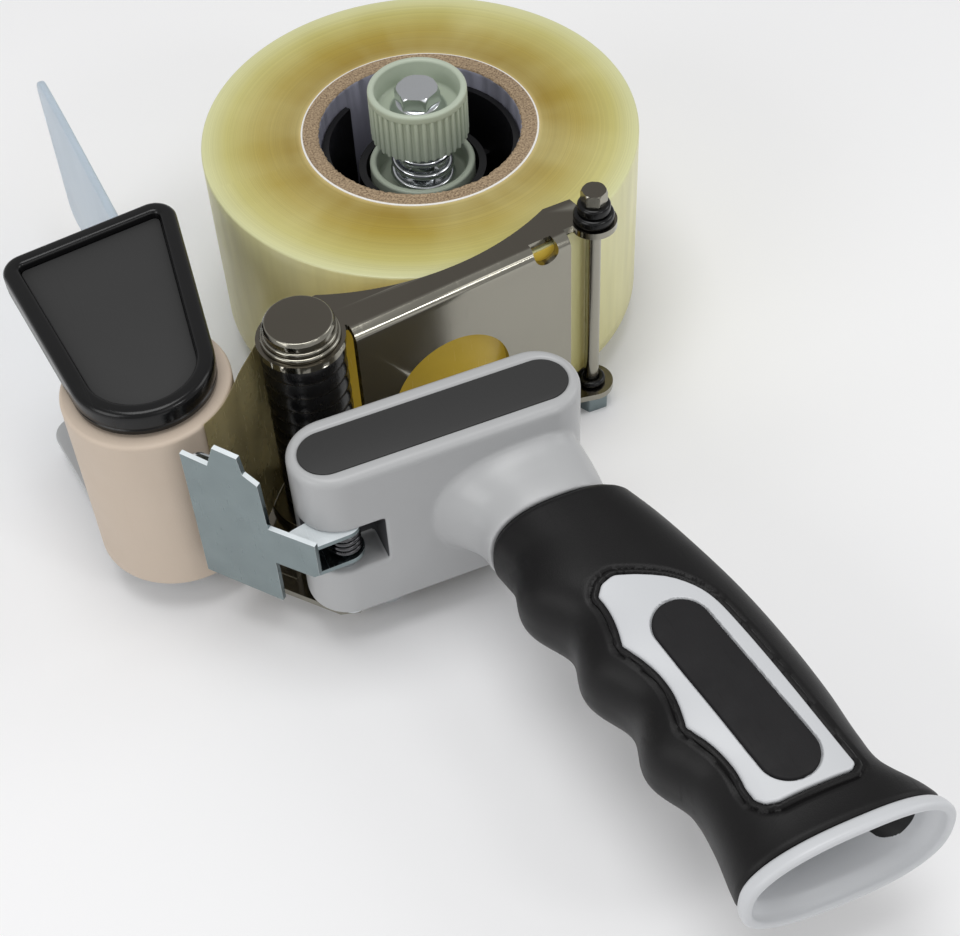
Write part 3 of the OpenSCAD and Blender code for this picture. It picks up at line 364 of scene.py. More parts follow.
def meshObject(name, shape, materials, sharp=38, shift=(0, 0, 0), faceMats=None):
    verts, faces = shape
    mesh = bpy.data.meshes.new(name)
    mesh.from_pydata([tuple((Vector(v) + Vector(shift)) * mm) for v in verts], [], faces)
    for key in materials.split():
        mesh.materials.append(mats[key])
    if faceMats is not None:
        mesh.polygons.foreach_set("material_index", faceMats)
    bm = bmesh.new()
    bm.from_mesh(mesh)
    bmesh.ops.remove_doubles(bm, verts=bm.verts, dist=1e-7)
    bmesh.ops.recalc_face_normals(bm, faces=bm.faces)
    bm.to_mesh(mesh)
    bm.free()
    return smooth(link(name, mesh), sharp)


def bake(obj):  # modifiers into a plain mesh
    graph = bpy.context.evaluated_depsgraph_get()
    mesh = bpy.data.meshes.new_from_object(obj.evaluated_get(graph), preserve_all_data_layers=True, depsgraph=graph)
    obj.modifiers.clear()
    obj.data = mesh
    return obj


def place(obj, slotName, *nodes):  # stands for its CAD nodes and rides on their body
    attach(obj, frame["nodes"][nodes[0]]["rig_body"])
    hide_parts(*nodes)
    return obj


def build(name, shape, materials, slotName, node, *more, **options):
    return place(meshObject(name, shape, materials, *more, **options), slotName, node)


def lathe(profile, segments=96):  # closed outline of (radius, z) turned about z
    count = len(profile)
    turns = [tau * k / segments for k in range(segments)]
    verts = [(r * cos(a), r * sin(a), z) for a in turns for r, z in profile]
    faces = []
    for k in range(segments):
        here, onward = k * count, (k + 1) % segments * count
        faces += [(here + i, onward + i, onward + (i + 1) % count, here + (i + 1) % count) for i in range(count)]
    return verts, faces


def rod(tip, radius, low, shoulder, high):  # round bar with a chamfered foot
    return lathe([(0, low), (tip, low), (radius, shoulder), (radius, high), (0, high)], 48)


def roundCorners(points, radii, steps=5):  # closed 2-D outline with its corners turned into arcs
    out = []
    for i, point in enumerate(points):
        here, before, after = Vector(point), Vector(points[i - 1]), Vector(points[(i + 1) % len(points)])
        radius = radii[i] if isinstance(radii, (list, tuple)) else radii
        u, v = (before - here).normalized(), (after - here).normalized()
        half = u.angle(v) / 2
        if radius <= 0 or half > 1.55:  # straight on
            out.append(tuple(here))
            continue
        reach = min(radius / tan(half), 0.48 * (before - here).length, 0.48 * (after - here).length)
        centre = here + (u + v).normalized() * (reach / cos(half))
        start, end = here + u * reach - centre, here + v * reach - centre
        first, turn = atan2(start.y, start.x), start.angle_signed(end)
        for k in range(steps + 1):
            a = first - turn * k / steps
            out.append((centre.x + start.length * cos(a), centre.y + start.length * sin(a)))
    return out


def washer(hole, radius, low, high, lowRound, highRound):  # outline of a flat ring with soft edges
    return roundCorners([(hole, low), (radius, low), (radius, high), (hole, high)], [0, lowRound, highRound, 0])


def loft(loops, capped=True):  # skin over loops of equal length
    count = len(loops[0])
    verts = [p for loop in loops for p in loop]
    faces = []
    for i in range(len(loops) - 1):
        here, onward = i * count, (i + 1) * count
        faces += [(here + j, here + (j + 1) % count, onward + (j + 1) % count, onward + j) for j in range(count)]
    if capped:
        faces += [tuple(range(count)), tuple((len(loops) - 1) * count + j for j in range(count))]
    return verts, faces


def hullLoop(discs, inset, z, count):  # outline round several discs, set in
    loop = []
    for k in range(count):
        d = Vector((cos(tau * k / count), sin(tau * k / count)))
        x, y, r = max(discs, key=lambda c: c[0] * d.x + c[1] * d.y + c[2])
        loop.append((x + (r - inset) * d.x, y + (r - inset) * d.y, z))
    return loop


def hullStack(discs, steps, count=160):  # hull outlines at (inset, z) steps
    return loft([hullLoop(discs, inset, z, count) for inset, z in steps])


def hexRing(flats, cap, z, segments=96):  # hexagon cut back to a round of radius cap
    ring = []
    for k in range(segments):
        a = tau * k / segments
        bay = (a + pi / 6) % (pi / 3) - pi / 6
        r = min(flats / 2 / cos(bay), cap)
        ring.append((r * cos(a), r * sin(a), z))
    return ring


def hexHead(flats, low, high, drop, foot=False):  # corners cut back by 11 percent over the drop
    corner = flats / sqrt(3)
    tops = [hexRing(flats, corner * (1 - 0.11 * k / 4), high - drop * (1 - k / 4)) for k in range(5)]
    feet = [hexRing(flats, corner, low)]
    if foot:
        feet = [hexRing(flats, corner * (0.89 + 0.11 * k / 4), low + drop * k / 4) for k in range(5)]
    return loft(feet + tops)


def joined(*shapes):
    verts, faces = [], []
    for moreVerts, moreFaces in shapes:
        faces += [tuple(i + len(verts) for i in face) for face in moreFaces]
        verts += list(moreVerts)
    return verts, faces


softening = {"merge": 2e-6, "flat": 0.6, "bevelFrom": 34, "sharpFrom": 32, "weight": 90, "lookUp": 0.6}


def refine(node, material, width, slotName, segments=2, edge=None, highlightLow=0.0):  # CAD copy with softened edges, and a painted highlight finish on its bevels and upturned faces when one is given
    s = SimpleNamespace(**softening)
    mesh = frame["nodes"][node].data.copy()
    mesh.materials.clear()
    for key in (material, edge) if edge else (material,):
        mesh.materials.append(mats[key])
    bm = bmesh.new()
    bm.from_mesh(mesh)
    bmesh.ops.remove_doubles(bm, verts=bm.verts, dist=s.merge)
    bmesh.ops.dissolve_limit(bm, angle_limit=radians(s.flat), verts=bm.verts, edges=bm.edges)
    bm.to_mesh(mesh)
    bm.free()
    obj = link(node + "Soft", mesh)
    bevel = obj.modifiers.new("softEdges", "BEVEL")
    bevel.width, bevel.segments = width * mm, segments
    bevel.limit_method, bevel.angle_limit = "ANGLE", radians(s.bevelFrom)
    bevel.material = 1 if edge else -1
    bake(obj)
    for face in obj.data.polygons if edge else []:  # faces that look up take the painted highlight finish above the given height
        if face.normal.z > s.lookUp:
            face.material_index = 1 if face.center.z * 1000 > highlightLow else 0
    smooth(obj, s.sharpFrom)
    even = obj.modifiers.new("flatFaces", "WEIGHTED_NORMAL")
    even.keep_sharp, even.weight = True, s.weight
    return place(bake(obj), slotName, node)


def cut(obj, cutter):
    boolean = obj.modifiers.new("cut", "BOOLEAN")
    boolean.operation, boolean.solver, boolean.object = "DIFFERENCE", "EXACT", cutter
    bake(obj)
    bpy.data.objects.remove(cutter)


def merge(name, *objs):  # several objects into the first one's mesh
    bm = bmesh.new()
    slots = list(dict.fromkeys(mat for obj in objs for mat in obj.data.materials))
    for obj in objs:
        part = bmesh.new()
        part.from_mesh(obj.data)
        for face in part.faces:
            face.material_index = slots.index(obj.data.materials[face.material_index])
        mesh = bpy.data.meshes.new("part")
        part.to_mesh(mesh)
        part.free()
        bm.from_mesh(mesh)
        bpy.data.meshes.remove(mesh)
    mesh = bpy.data.meshes.new(name)
    bm.to_mesh(mesh)
    bm.free()
    for mat in slots:
        mesh.materials.append(mat)
    for obj in objs[1:]:
        bpy.data.objects.remove(obj)
    objs[0].data, objs[0].name = mesh, name
    return objs[0]


# geometry node trees

def endTree(tree, shape, ins, outs):  # instances made real, with their finish
    real = add(tree, "GeometryNodeRealizeInstances", {"Geometry": shape.outputs[0]})
    coated = add(tree, "GeometryNodeSetMaterial", {"Geometry": real.outputs[0], "Material": ins["Material"]})
    tree.links.new(coated.outputs[0], outs[0])
    return tree


def buildCoilTree():  # round wire wound into a coil
    tree, ins, outs = newGroup("coil", "GeometryNodeTree", {"Turns": 3.0, "Low Radius": 0.007, "High Radius": 0.006,
        "Height": 0.01, "Wire": 0.001, "Place": (0, 0, 0), "Material": "Material"}, {"Geometry": "Geometry"})
    spiral = add(tree, "GeometryNodeCurveSpiral", {"Resolution": 40, "Rotations": ins["Turns"],
        "Start Radius": ins["Low Radius"], "End Radius": ins["High Radius"], "Height": ins["Height"]})
    ring = add(tree, "GeometryNodeCurvePrimitiveCircle", {"Resolution": 14, "Radius": ins["Wire"]})
    wire = add(tree, "GeometryNodeCurveToMesh", {"Curve": spiral.outputs[0], "Profile Curve": ring.outputs[0],
        "Fill Caps": True})
    moved = add(tree, "GeometryNodeTransform", {"Geometry": wire.outputs[0], "Translation": ins["Place"]})
    soft = add(tree, "GeometryNodeSetShadeSmooth", {"Geometry": moved.outputs[0]})
    return endTree(tree, soft, ins, outs)


def buildRingTree():  # copies of a small shape set round an upright axis
    tree, ins, outs = newGroup("ringOf", "GeometryNodeTree", {"Shape": "Object", "Count": 12, "Radius": 0.01,
        "Material": "Material"}, {"Geometry": "Geometry"})
    circle = add(tree, "GeometryNodeMeshCircle", {"Vertices": ins["Count"], "Radius": ins["Radius"]})
    shape = add(tree, "GeometryNodeObjectInfo", {"Object": ins["Shape"]})
    spot = add(tree, "GeometryNodeInputPosition")
    turn = add(tree, "FunctionNodeAlignRotationToVector", {"Vector": spot.outputs[0]}, axis="X", pivot_axis="Z")
    copies = add(tree, "GeometryNodeInstanceOnPoints", {"Points": circle.outputs[0],
        "Instance": shape.outputs["Geometry"], "Rotation": turn.outputs[0]})
    return endTree(tree, copies, ins, outs)


coilTree, ringTree = buildCoilTree(), buildRingTree()


def grow(name, tree, material, *values):  # runs a tree and keeps its result as a plain mesh
    obj = link(name, bpy.data.meshes.new(name))
    modifier = obj.modifiers.new(tree.name, "NODES")
    modifier.node_group = tree
    inputs = [item for item in tree.interface.items_tree if item.in_out == "INPUT"]
    for item, value in zip(inputs, values + (mats[material],)):
        modifier[item.identifier] = value
    return smooth(bake(obj), 40)


def windCoil(name, material, turns, lowRadius, highRadius, height, wire, spot):
    return grow(name, coilTree, material, turns, lowRadius * mm, highRadius * mm, height * mm, wire * mm,
        tuple(c * mm for c in spot))


# tape roll, core and hub

tapeRoll = {"inner": 30.0, "outer": 55.0, "edge": 0.5, "rings": 70, "unevenness": 0.16, "sunk": 0.12, "bow": 0.12,
    "segments": 200, "seed": 4}


@sized
def makeTapeRoll(s):
    rng = np.random.default_rng(s.seed)
    low, high = plan["roll"]
    top = high - s.sunk
    radii = np.linspace(s.inner, s.outer - s.edge, s.rings)
    wander = np.cumsum(rng.normal(0, 0.05, s.rings))
    wander = np.clip(wander - np.linspace(0, wander[-1], s.rings), -1, 1) * s.unevenness
    profile = [(r, top + w) for r, w in zip(radii, wander)]
    profile += [(s.outer - s.edge * (1 - sin(a)), top - s.edge * (1 - cos(a))) for a in arcMarks]
    profile += [(s.outer, z) for z in np.linspace(high - 4, low + 4, 9)]
    profile += [(s.outer, low + s.edge), (s.outer - s.edge, low)]
    profile += [(r, low - 0.05 * w) for r, w in zip(radii[::-7], wander[::-7])]
    verts, faces = lathe(profile, s.segments)
    out = []
    for x, y, z in verts:  # a roll is never quite round
        a, r = atan2(y, x), hypot(x, y)
        share = (r - s.inner) / (s.outer - s.inner)
        swell = share * s.bow * (0.6 * sin(2 * a + 0.7) + 0.4 * sin(5 * a))
        out.append((x * (1 + swell / r), y * (1 + swell / r), z))
    build("woundRoll", (out, faces), "woundTape", "tape", "tape_roll", 50)


tapeCore = {"inner": 25.3, "outer": 30.0, "clear": 0.01, "ragged": 0.3, "segments": 240, "seed": 11}


@sized
def makeTapeCore(s):
    rng = np.random.default_rng(s.seed)
    low, high = plan["roll"]
    span, skin = s.outer - s.inner, s.outer - s.clear
    steps = [(s.inner, low), (s.inner, high - 12), (s.inner, high - 0.9), (s.inner + 0.1, high - 0.25)]
    steps += [(s.inner + 0.35 + span * k / 9, high + 0.12 * sin(k * 2.1)) for k in range(8)]
    steps += [(s.outer - 0.25, high + 0.15), (skin, high), (skin, low)]
    verts, faces = lathe(steps, s.segments)
    out = []
    for i, (x, y, z) in enumerate(verts):
        torn = i % len(steps) in (2, 3, 4)  # inner rim
        push = s.ragged * rng.uniform(-0.2, 1) if torn else 0
        r = hypot(x, y)
        out.append((x * (1 + push / r), y * (1 + push / r), z - push * 0.6))
    inside = [int(i % len(steps) < 3) for i in range(len(faces))]
    build("cardCore", (out, faces), "card coreLiner", "cardboard", "tape_core", 50, faceMats=inside)


makeTapeRoll(tapeRoll)
makeTapeCore(tapeCore)
refine("core_hub", "hubBlack", 0.35, "black_plastic")
print("roll done")

# roll brake

brake = {"cupRadius": 13.5, "cupWall": 1.8, "cupHole": 5.05, "cupFloor": 1.5,
    "springTurns": 3.0, "springLow": 7.4, "springHigh": 6.4, "wire": 1.1,
    "knobRoot": 11.75, "knobTop": 12.35, "recess": 10.6, "deck": 7.5, "rimBand": 2.0, "ribs": 38, "ribRadius": 0.6,
    "flats": 10.0, "flange": 7.2, "dome": 5.6, "domeRise": 3.0, "shank": 3.0, "shankTip": 2.6, "boltHole": 3.05}


@sized
def makeBrake(s):
    low, high = levels("brake_cup")
    floor, inside = low + s.cupFloor, s.cupRadius - s.cupWall
    cup = roundCorners([(s.cupHole, low), (s.cupRadius, low), (s.cupRadius, high), (inside, high), (inside, floor),
        (s.cupHole, floor)], [0, 0.8, 0.7, 0.7, 1.0, 0])
    build("springCup", lathe(cup), "sagePlastic", "sage_plastic", "brake_cup")

    start = floor + s.wire
    rise = levels("brake_washer")[0] - s.wire - start
    coil = windCoil("pressSpring", "brightSteel", s.springTurns, s.springLow, s.springHigh, rise, s.wire, (0, 0, start))
    place(coil, "bright_steel", "brake_spring")
    refine("brake_washer", "brightSteel", 0.2, "bright_steel")

    base, top = levels("brake_knob")
    deck, band = base + s.deck, top - s.rimBand
    shell = roundCorners([(s.boltHole, base), (s.knobRoot, base), (s.knobRoot, band - 0.4), (s.knobTop, band),
        (s.knobTop, top), (s.recess, top), (s.recess, deck), (s.boltHole, deck)],
        [0, 0.6, 0.3, 0.3, 0.75, 0.75, 0.9, 0])
    knob = meshObject("knobShell", lathe(shell, 4 * s.ribs), "sagePlastic")
    length = band + 0.2 - base
    ends = [(0.0, 0.0)] + [(s.ribRadius * sin(a), s.ribRadius * (1 - cos(a))) for a in arcMarks]
    bar = ends + [(r, length - z) for r, z in ends[::-1]]
    rib = meshObject("oneRib", lathe(bar, 10), "sagePlastic", shift=(0, 0, base + 0.1))
    ribs = grow("knobRibs", ringTree, "sagePlastic", rib, s.ribs, (s.knobRoot + 0.02) * mm)
    bpy.data.objects.remove(rib)
    place(merge("brakeKnob", knob, ribs), "sage_plastic", "brake_knob")

    tip, head = levels("brake_bolt")
    crown = deck + s.domeRise
    seat = roundCorners([(0, deck), (s.flange, deck), (s.flange, deck + 0.8), (s.dome, crown), (0, crown)],
        [0, 0.2, 0.6, 1.0, 0])
    shank = rod(s.shankTip, s.shank, tip, tip + 0.5, deck + 0.5)
    bolt = joined(lathe(seat), hexHead(s.flats, deck + 1, head, 0.9), shank)
    build("brakeBolt", bolt, "brightSteel", "bright_steel", "brake_bolt", 24)


makeBrake(brake)
print("brake done")

# tension roller with its stepped cap

tension = {"radius": 9.75, "bore": 5.55, "pitch": 4.4, "barb": 1.0, "cap": 8.2, "rod": 3.0, "rodTip": 2.5,
    "ringHole": 3.05, "lowRing": 9.2, "highRing": 8.6, "ringStep": 1.2}


@sized
def makeTension(s):
    spot = footing("tension")
    low, high = levels("tension_roller")
    count = int((high - low) // s.pitch)
    step = (high - low) / count
    r = s.radius
    outline = [(s.bore, low)]
    for i in range(count):  # each rib hangs over the one below
        z = low + step * i
        outline += [(r - s.barb, z + 0.02), (r - 0.35, z + step * 0.06), (r, z + step * 0.2),
            (r - 0.05, z + step * 0.42), (r - 0.3, z + step * 0.68), (r - s.barb * 0.8, z + step * 0.94)]
    outline += [(r - s.barb, high), (s.bore, high)]
    build("ribbedRoller", lathe(outline), "rollerBlack", "black_rubber", "tension_roller", 60, spot)

    base, under = levels("cap_washers")
    top = levels("tension_axle")[1]
    cap = roundCorners([(0, under), (s.cap, under), (s.cap, top - 0.9), (s.cap - 0.5, top), (0, top)],
        [0, 0.3, 0.3, 0.4, 0])
    axle = joined(lathe(cap), rod(s.rodTip, s.rod, 0.05, 0.6, under + 0.2))
    build("steppedCap", axle, "nickelPlate", "plated_steel", "tension_axle", 30, spot)
    lower = washer(s.ringHole, s.lowRing, base, base + s.ringStep - 0.05, 0.35, 0.5)
    upper = washer(s.ringHole, s.highRing, base + s.ringStep, under - 0.02, 0.35, 0.5)
    build("capRings", joined(lathe(lower), lathe(upper)), "nickelPlate", "plated_steel", "cap_washers", 30, spot)


makeTension(tension)

# applicator roller

applicator = {"radius": 19.2, "rubber": 6.0, "edge": 0.9, "waist": 0.06}


@sized
def makeApplicator(s):
    low, high = levels("applicator_rubber")
    r, bore = s.radius, s.radius - s.rubber
    wall = [(r - s.waist * sin(pi * k / 8), low + 2 + (high - low - 4) * k / 8) for k in range(9)]  # worn in use
    outline = roundCorners([(bore, low), (r, low)] + wall + [(r, high), (bore, high)],
        [0.2, s.edge] + [0] * len(wall) + [s.edge, 0.2])
    spot = footing("applicator")
    build("softRoller", lathe(outline, 128), "beigeRubber", "beige_rubber", "applicator_rubber", 40, spot)


makeApplicator(applicator)

# guide pin and its washers

guide = {"pin": 1.85, "pinTip": 1.3, "flats": 5.6, "hole": 1.9, "washer": 4.9, "collar": 4.0, "ring": 2.6}


@sized
def makeGuidePin(s):
    spot = footing("pin")
    base, under = levels("pin_washers")
    top = levels("guide_pin")[1]
    pin = joined(rod(s.pinTip, s.pin, 0.05, 0.5, under + 0.3), hexHead(s.flats, under, top, 0.6, True))
    build("guidePin", pin, "nickelPlate", "plated_steel", "guide_pin", 24, spot)
    lower = washer(s.hole, s.washer, base, base + s.ring - 0.05, 0.6, 0.9)
    upper = washer(s.hole, s.collar, base + s.ring, under - 0.02, 0.5, 0.8)
    rings = joined(lathe(lower, 64), lathe(upper, 64))
    build("pinRings", rings, "cheekBlack", "black_rubber", "pin_washers", 40, spot)


makeGuidePin(guide)
print("rollers done")

# flap fork: cheeks, panel and flap

cheek = {"round": 16.3, "corner": 5.5, "far": [(-15.7, 40.2), (16.0, 44.7)], "rim": 4.0, "lip": 1.5, "innerLip": 1.1}


@sized
def makeCheeks(s):
    x, y, _ = footing("applicator")
    discs = [(x, y, s.round)] + [(x + a, y + b, s.corner) for a, b in s.far]
    low, high = levels("upper_cheek")
    deck, top = levels("cheek_panel")
    steps = [(1.2, low), (0.5, low + 0.15), (0.1, low + 0.5), (0.1, low + 1.5), (0.35, low + 1.75), (0.35, low + 1.95),
        (0, low + 2.3)]
    steps += [(s.lip * (1 - cos(a)), high - s.lip * (1 - sin(a))) for a in quarter(7)]
    steps += [(s.rim - s.innerLip * (1 - sin(a)), high - s.innerLip * (1 - cos(a))) for a in quarter(6)]
    steps += [(s.rim, deck)]
    build("cheekShell", hullStack(discs, steps), "cheekBlack", "black_plastic", "upper_cheek", 40)
    steps = [(s.rim + 0.1, deck), (s.rim + 0.1, top - 0.25), (s.rim + 0.2, top - 0.05), (s.rim + 0.4, top)]
    build("cheekPlate", hullStack(discs, steps), "charcoalPlate", "charcoal_plate", "cheek_panel", 30)
    low, high = levels("lower_cheek")
    steps = [(0.7, low), (0.2, low + 0.2), (0, low + 0.7), (0, high - 0.7), (0.2, high - 0.2), (0.7, high)]
    build("lowerCheek", hullStack(discs, steps), "greyPlastic", "grey_plastic", "lower_cheek", 40)


makeCheeks(cheek)

flap = {"length": 78.0, "root": (9.4, 41.7), "lean": 3.3, "thick": 2.3, "tip": 2.0, "corner": 4.0, "bend": 0.35,
    "rows": 40}


@sized
def makeFlap(s):
    x, y, _ = footing("applicator")
    low, high = levels("wiper_flap")
    loops = []
    for k in range(s.rows + 1):
        u = k / s.rows
        d = s.length * (1 - (1 - u) ** 1.35)  # rows crowd towards the rounded tip
        past = max(0.0, d - s.length + s.corner)
        pull = s.corner - sqrt(max(0.0, s.corner ** 2 - past ** 2))
        half = (s.thick + (s.tip - s.thick) * u) / 2
        bend = s.bend * sin(pi * u) * u
        left, right, foot, head = bend - half, bend + half, low + pull, high - pull
        box = [(left, foot), (right, foot), (right, head), (left, head)]
        loops.append([(a, d, z) for a, z in roundCorners(box, half * 0.7, 3)])
    verts, faces = loft(loops)
    turn = Matrix.Rotation(radians(s.lean), 3, "Z")
    verts = [turn @ Vector(v) + Vector((x + s.root[0], y + s.root[1], 0)) for v in verts]
    build("wiperFlap", (verts, faces), "clearFlap", "clear_plastic", "wiper_flap", 40)


makeFlap(flap)

# film drawn from the roll over the tension roller on to the applicator

film = {"clear": 0.3, "thick": 0.12, "wrap": 26.0, "lead": 20.0, "rows": 60, "sag": 0.7, "farSag": 0.6}


@sized
def makeFilm(s):
    t, p = Vector(plan["tension"][:2]), Vector(plan["applicator"][:2])
    rounds = (tapeRoll["outer"], tension["radius"], applicator["radius"])
    rollR, tenR, appR = (r + s.clear + s.thick for r in rounds)
    aim = lambda a: Vector((cos(a), sin(a)))
    towards = atan2(t.y, t.x)
    onward = atan2((p - t).y, (p - t).x) % tau
    a = towards + acos((rollR + tenR) / t.length)
    b = onward - acos((tenR + appR) / (p - t).length)
    path = [(rollR * aim(a + radians(s.lead) * (1 - k / 8)), 0.0) for k in range(9)]  # point and share of sag
    leave, meet = path[-1][0], t + tenR * aim(a + pi)
    path += [(leave.lerp(meet, k / 12), sin(pi * k / 12)) for k in range(1, 12)]
    glowEnd = len(path)  # up to here the film takes the painted glow, as it lies before the lit roll
    path += [(t + tenR * aim(a + pi + (b - a - pi) * k / 16), 0.0) for k in range(17)]
    leave, meet = t + tenR * aim(b), p + appR * aim(b - pi)
    path += [(leave.lerp(meet, k / 8), s.farSag * sin(pi * k / 8)) for k in range(1, 8)]
    path += [(p + appR * aim(b - pi - radians(s.wrap) * k / 10), 0.0) for k in range(11)]
    low, high = levels("tape_leader")
    grid, run = [], 0.0
    for i, (point, free) in enumerate(path):
        before, after = path[max(i - 1, 0)][0], path[min(i + 1, len(path) - 1)][0]
        along = (after - before).normalized()
        run += (point - before).length
        for k in range(s.rows + 1):
            z = low + (high - low) * k / s.rows
            first, second = (run * 0.11 + z * 0.06) % 2, (run * 0.07 - z * 0.09 + 0.4) % 2  # two sets of folds
            crease = abs(first - 1) - 0.5 + 0.6 * (abs(second - 1) - 0.5)
            off = free * s.sag * crease
            grid.append((point.x - along.y * off, point.y + along.x * off, z))
    rows = s.rows + 1
    corners = [i * rows + k for i in range(len(path) - 1) for k in range(s.rows)]
    faces = [(c, c + rows, c + rows + 1, c + 1) for c in corners]
    # faces up to there take the painted glow finish, the rest plain film
    beyond = [int(i // s.rows >= glowEnd) for i in range(len(faces))]
    sheet = meshObject("filmLeader", (grid, faces), "litFilm clearFilm", 20, faceMats=beyond)
    wall = sheet.modifiers.new("gauge", "SOLIDIFY")
    wall.thickness, wall.offset = s.thick * mm, 0
    bake(sheet)
    place(smooth(sheet, 25), "film", "tape_leader")


makeFilm(film)
print("fork and film done")

# sheet metal

refine("web_bracket", "nickelPlate", 0.3, "plated_steel", 3)
refine("base_plate", "nickelPlate", 0.25, "plated_steel")
refine("blade_guard", "zincSheet", 0.4, "zinc_steel", 3, "paintedEdgeHighlight", plan["half"] + 3)  # painted highlight on bevels and upturned faces above the arm
refine("cutter_blade", "brightSteel", 0.08, "bright_steel")
refine("tension_seat", "nickelPlate", 0.3, "plated_steel")

guardSpring = {"turns": 3.5, "radius": 3.4, "wire": 0.55}


@sized
def makeGuardSpring(s):
    x, y, _ = footing("pivot")
    low, high = levels("guard_spring")
    low, high = low + s.wire, high - s.wire
    coil = windCoil("returnSpring", "springDark", s.turns, s.radius, s.radius, high - low, s.wire, (x, y, low))
    place(coil, "bright_steel", "guard_spring")


makeGuardSpring(guardSpring)
print("metal done")

# housing

housing = {"straight": 47.8, "radius": 10.0, "fillet": 1.8, "footRise": 2.5, "foot": 1.2, "voxel": 0.45,
    "labelRim": 3.7, "labelMore": 2.5, "labelDeep": 1.2, "pedestal": 5.0, "pedestalLen": 38.0,
    "window": (-7.7, 6.7), "windowReach": (40, 9, 6), "grip": (19.5, -23.0), "depth": 37.5, "thick": 29.6,
    "neck": [(-1.2, 0.47, 0.305, 0.46), (0.8, 0.475, 0.315, 0.475), (3, 0.48, 0.32, 0.485), (6, 0.51, 0.325, 0.495),
        (10, 0.59, 0.325, 0.515), (13, 0.66, 0.315, 0.555), (17, 0.7, 0.28, 0.6)]}  # place, front, back, half


def curve(x, pairs):  # smooth curve through (position, value) pairs
    last = len(pairs) - 1
    i = next((k for k in range(last - 1) if x < pairs[k + 1][0]), last - 1)

    def slope(k):
        (a, va), (b, vb) = pairs[max(k - 1, 0)], pairs[min(k + 1, last)]
        return (vb - va) / (b - a)

    (a, va), (b, vb) = pairs[i], pairs[i + 1]
    u, w = (x - a) / (b - a), b - a
    return ((2 * u**3 - 3 * u**2 + 1) * va + (u**3 - 2 * u**2 + u) * w * slope(i) + (3 * u**2 - 2 * u**3) * vb
        + (u**3 - u**2) * w * slope(i + 1))


def ovalPoint(a, front, back, half):
    bow = lambda c: copysign(abs(c) ** 0.8, c)
    c = bow(cos(a))
    return c * (back if c > 0 else front), half * bow(sin(a))


def pillStack(straight, radius, steps):  # long round-ended body at (inset, z) steps
    cx, cy, _ = plan["pill"]
    return hullStack([(cx + k * straight / 2, cy, radius) for k in (-1, 1)], steps, 144)


@sized
def makeHousing(s):
    cx, cy, _ = plan["pill"]
    px, py, _ = plan["pivot"]
    low, high = levels("housing")
    foot = plan["roll"][0] + s.footRise
    steps = [(s.foot * (1 - sin(a)), foot + s.foot * (1 - cos(a))) for a in quarter(6)]
    steps += [(s.fillet * (1 - cos(a)), high - s.fillet * (1 - sin(a))) for a in quarter(9)]
    pill = meshObject("housingShell", pillStack(s.straight, s.radius, steps), "greyPlastic")
    label = s.straight + s.labelMore, s.radius - s.labelRim
    recess = [(0, high - s.labelDeep), (0, high - 0.35), (-0.4, high + 0.05), (-0.4, high + 3)]
    cut(pill, meshObject("recess", pillStack(*label, recess), "greyPlastic"))
    below, above = (plan["half"] + z for z in s.window)
    out, right, rear = s.windowReach
    box = [(px - out, py - out), (px + right, py - out), (px + right, py + rear), (px - out, py + rear)]
    opening = loft([[(x, y, z) for x, y in roundCorners(box, 0.8)] for z in (below, above)])
    cut(pill, meshObject("window", opening, "greyPlastic"))
    stand = meshObject("stand", pillStack(s.pedestalLen, s.pedestal, [(0, low), (0, foot + 2)]), "greyPlastic")
    loops = []
    for d in np.linspace(s.neck[0][0], s.neck[-1][0], 50):
        front, back, half = (curve(d, [(row[0], row[k]) for row in s.neck]) for k in (1, 2, 3))
        points = [ovalPoint(tau * k / 128, s.depth * front, s.depth * back, s.thick * half) for k in range(128)]
        loops.append([(cx + s.grip[0] + x, cy + s.grip[1] + d, plan["half"] + z) for x, z in points])
    shell = merge("moulding", pill, stand, meshObject("neck", loft(loops), "greyPlastic"))
    remesh = shell.modifiers.new("oneSkin", "REMESH")
    remesh.mode, remesh.voxel_size = "VOXEL", s.voxel * mm
    relax = shell.modifiers.new("relax", "SMOOTH")
    relax.factor, relax.iterations = 0.5, 8
    bake(shell)
    shell.data.materials.clear()
    for key in ("greyPlastic", "windowShade"):
        shell.data.materials.append(mats[key])
    for face in shell.data.polygons:  # walls inside the window lie in shade
        x, y, z = face.center * 1000
        beside = max(abs(x - cx) - s.straight / 2, 0)
        within = below - 0.2 < z < above + 0.2 and x < px + (right + 0.5) and y < py + (rear + 0.5)
        walls = within and face.normal.z < 0.6
        face.material_index = int(walls and hypot(beside, y - cy) < s.radius - 0.7)
    place(smooth(shell, 60), "grey_plastic", "housing")
    low, high = levels("housing_label")
    steps = [(0.1, low), (0.1, high - 0.2), (0.18, high - 0.05), (0.35, high)]
    build("barePlate", pillStack(*label, steps), "charcoalPlate", "charcoal_plate", "housing_label", 30)


makeHousing(housing)
print("housing done")

# grip

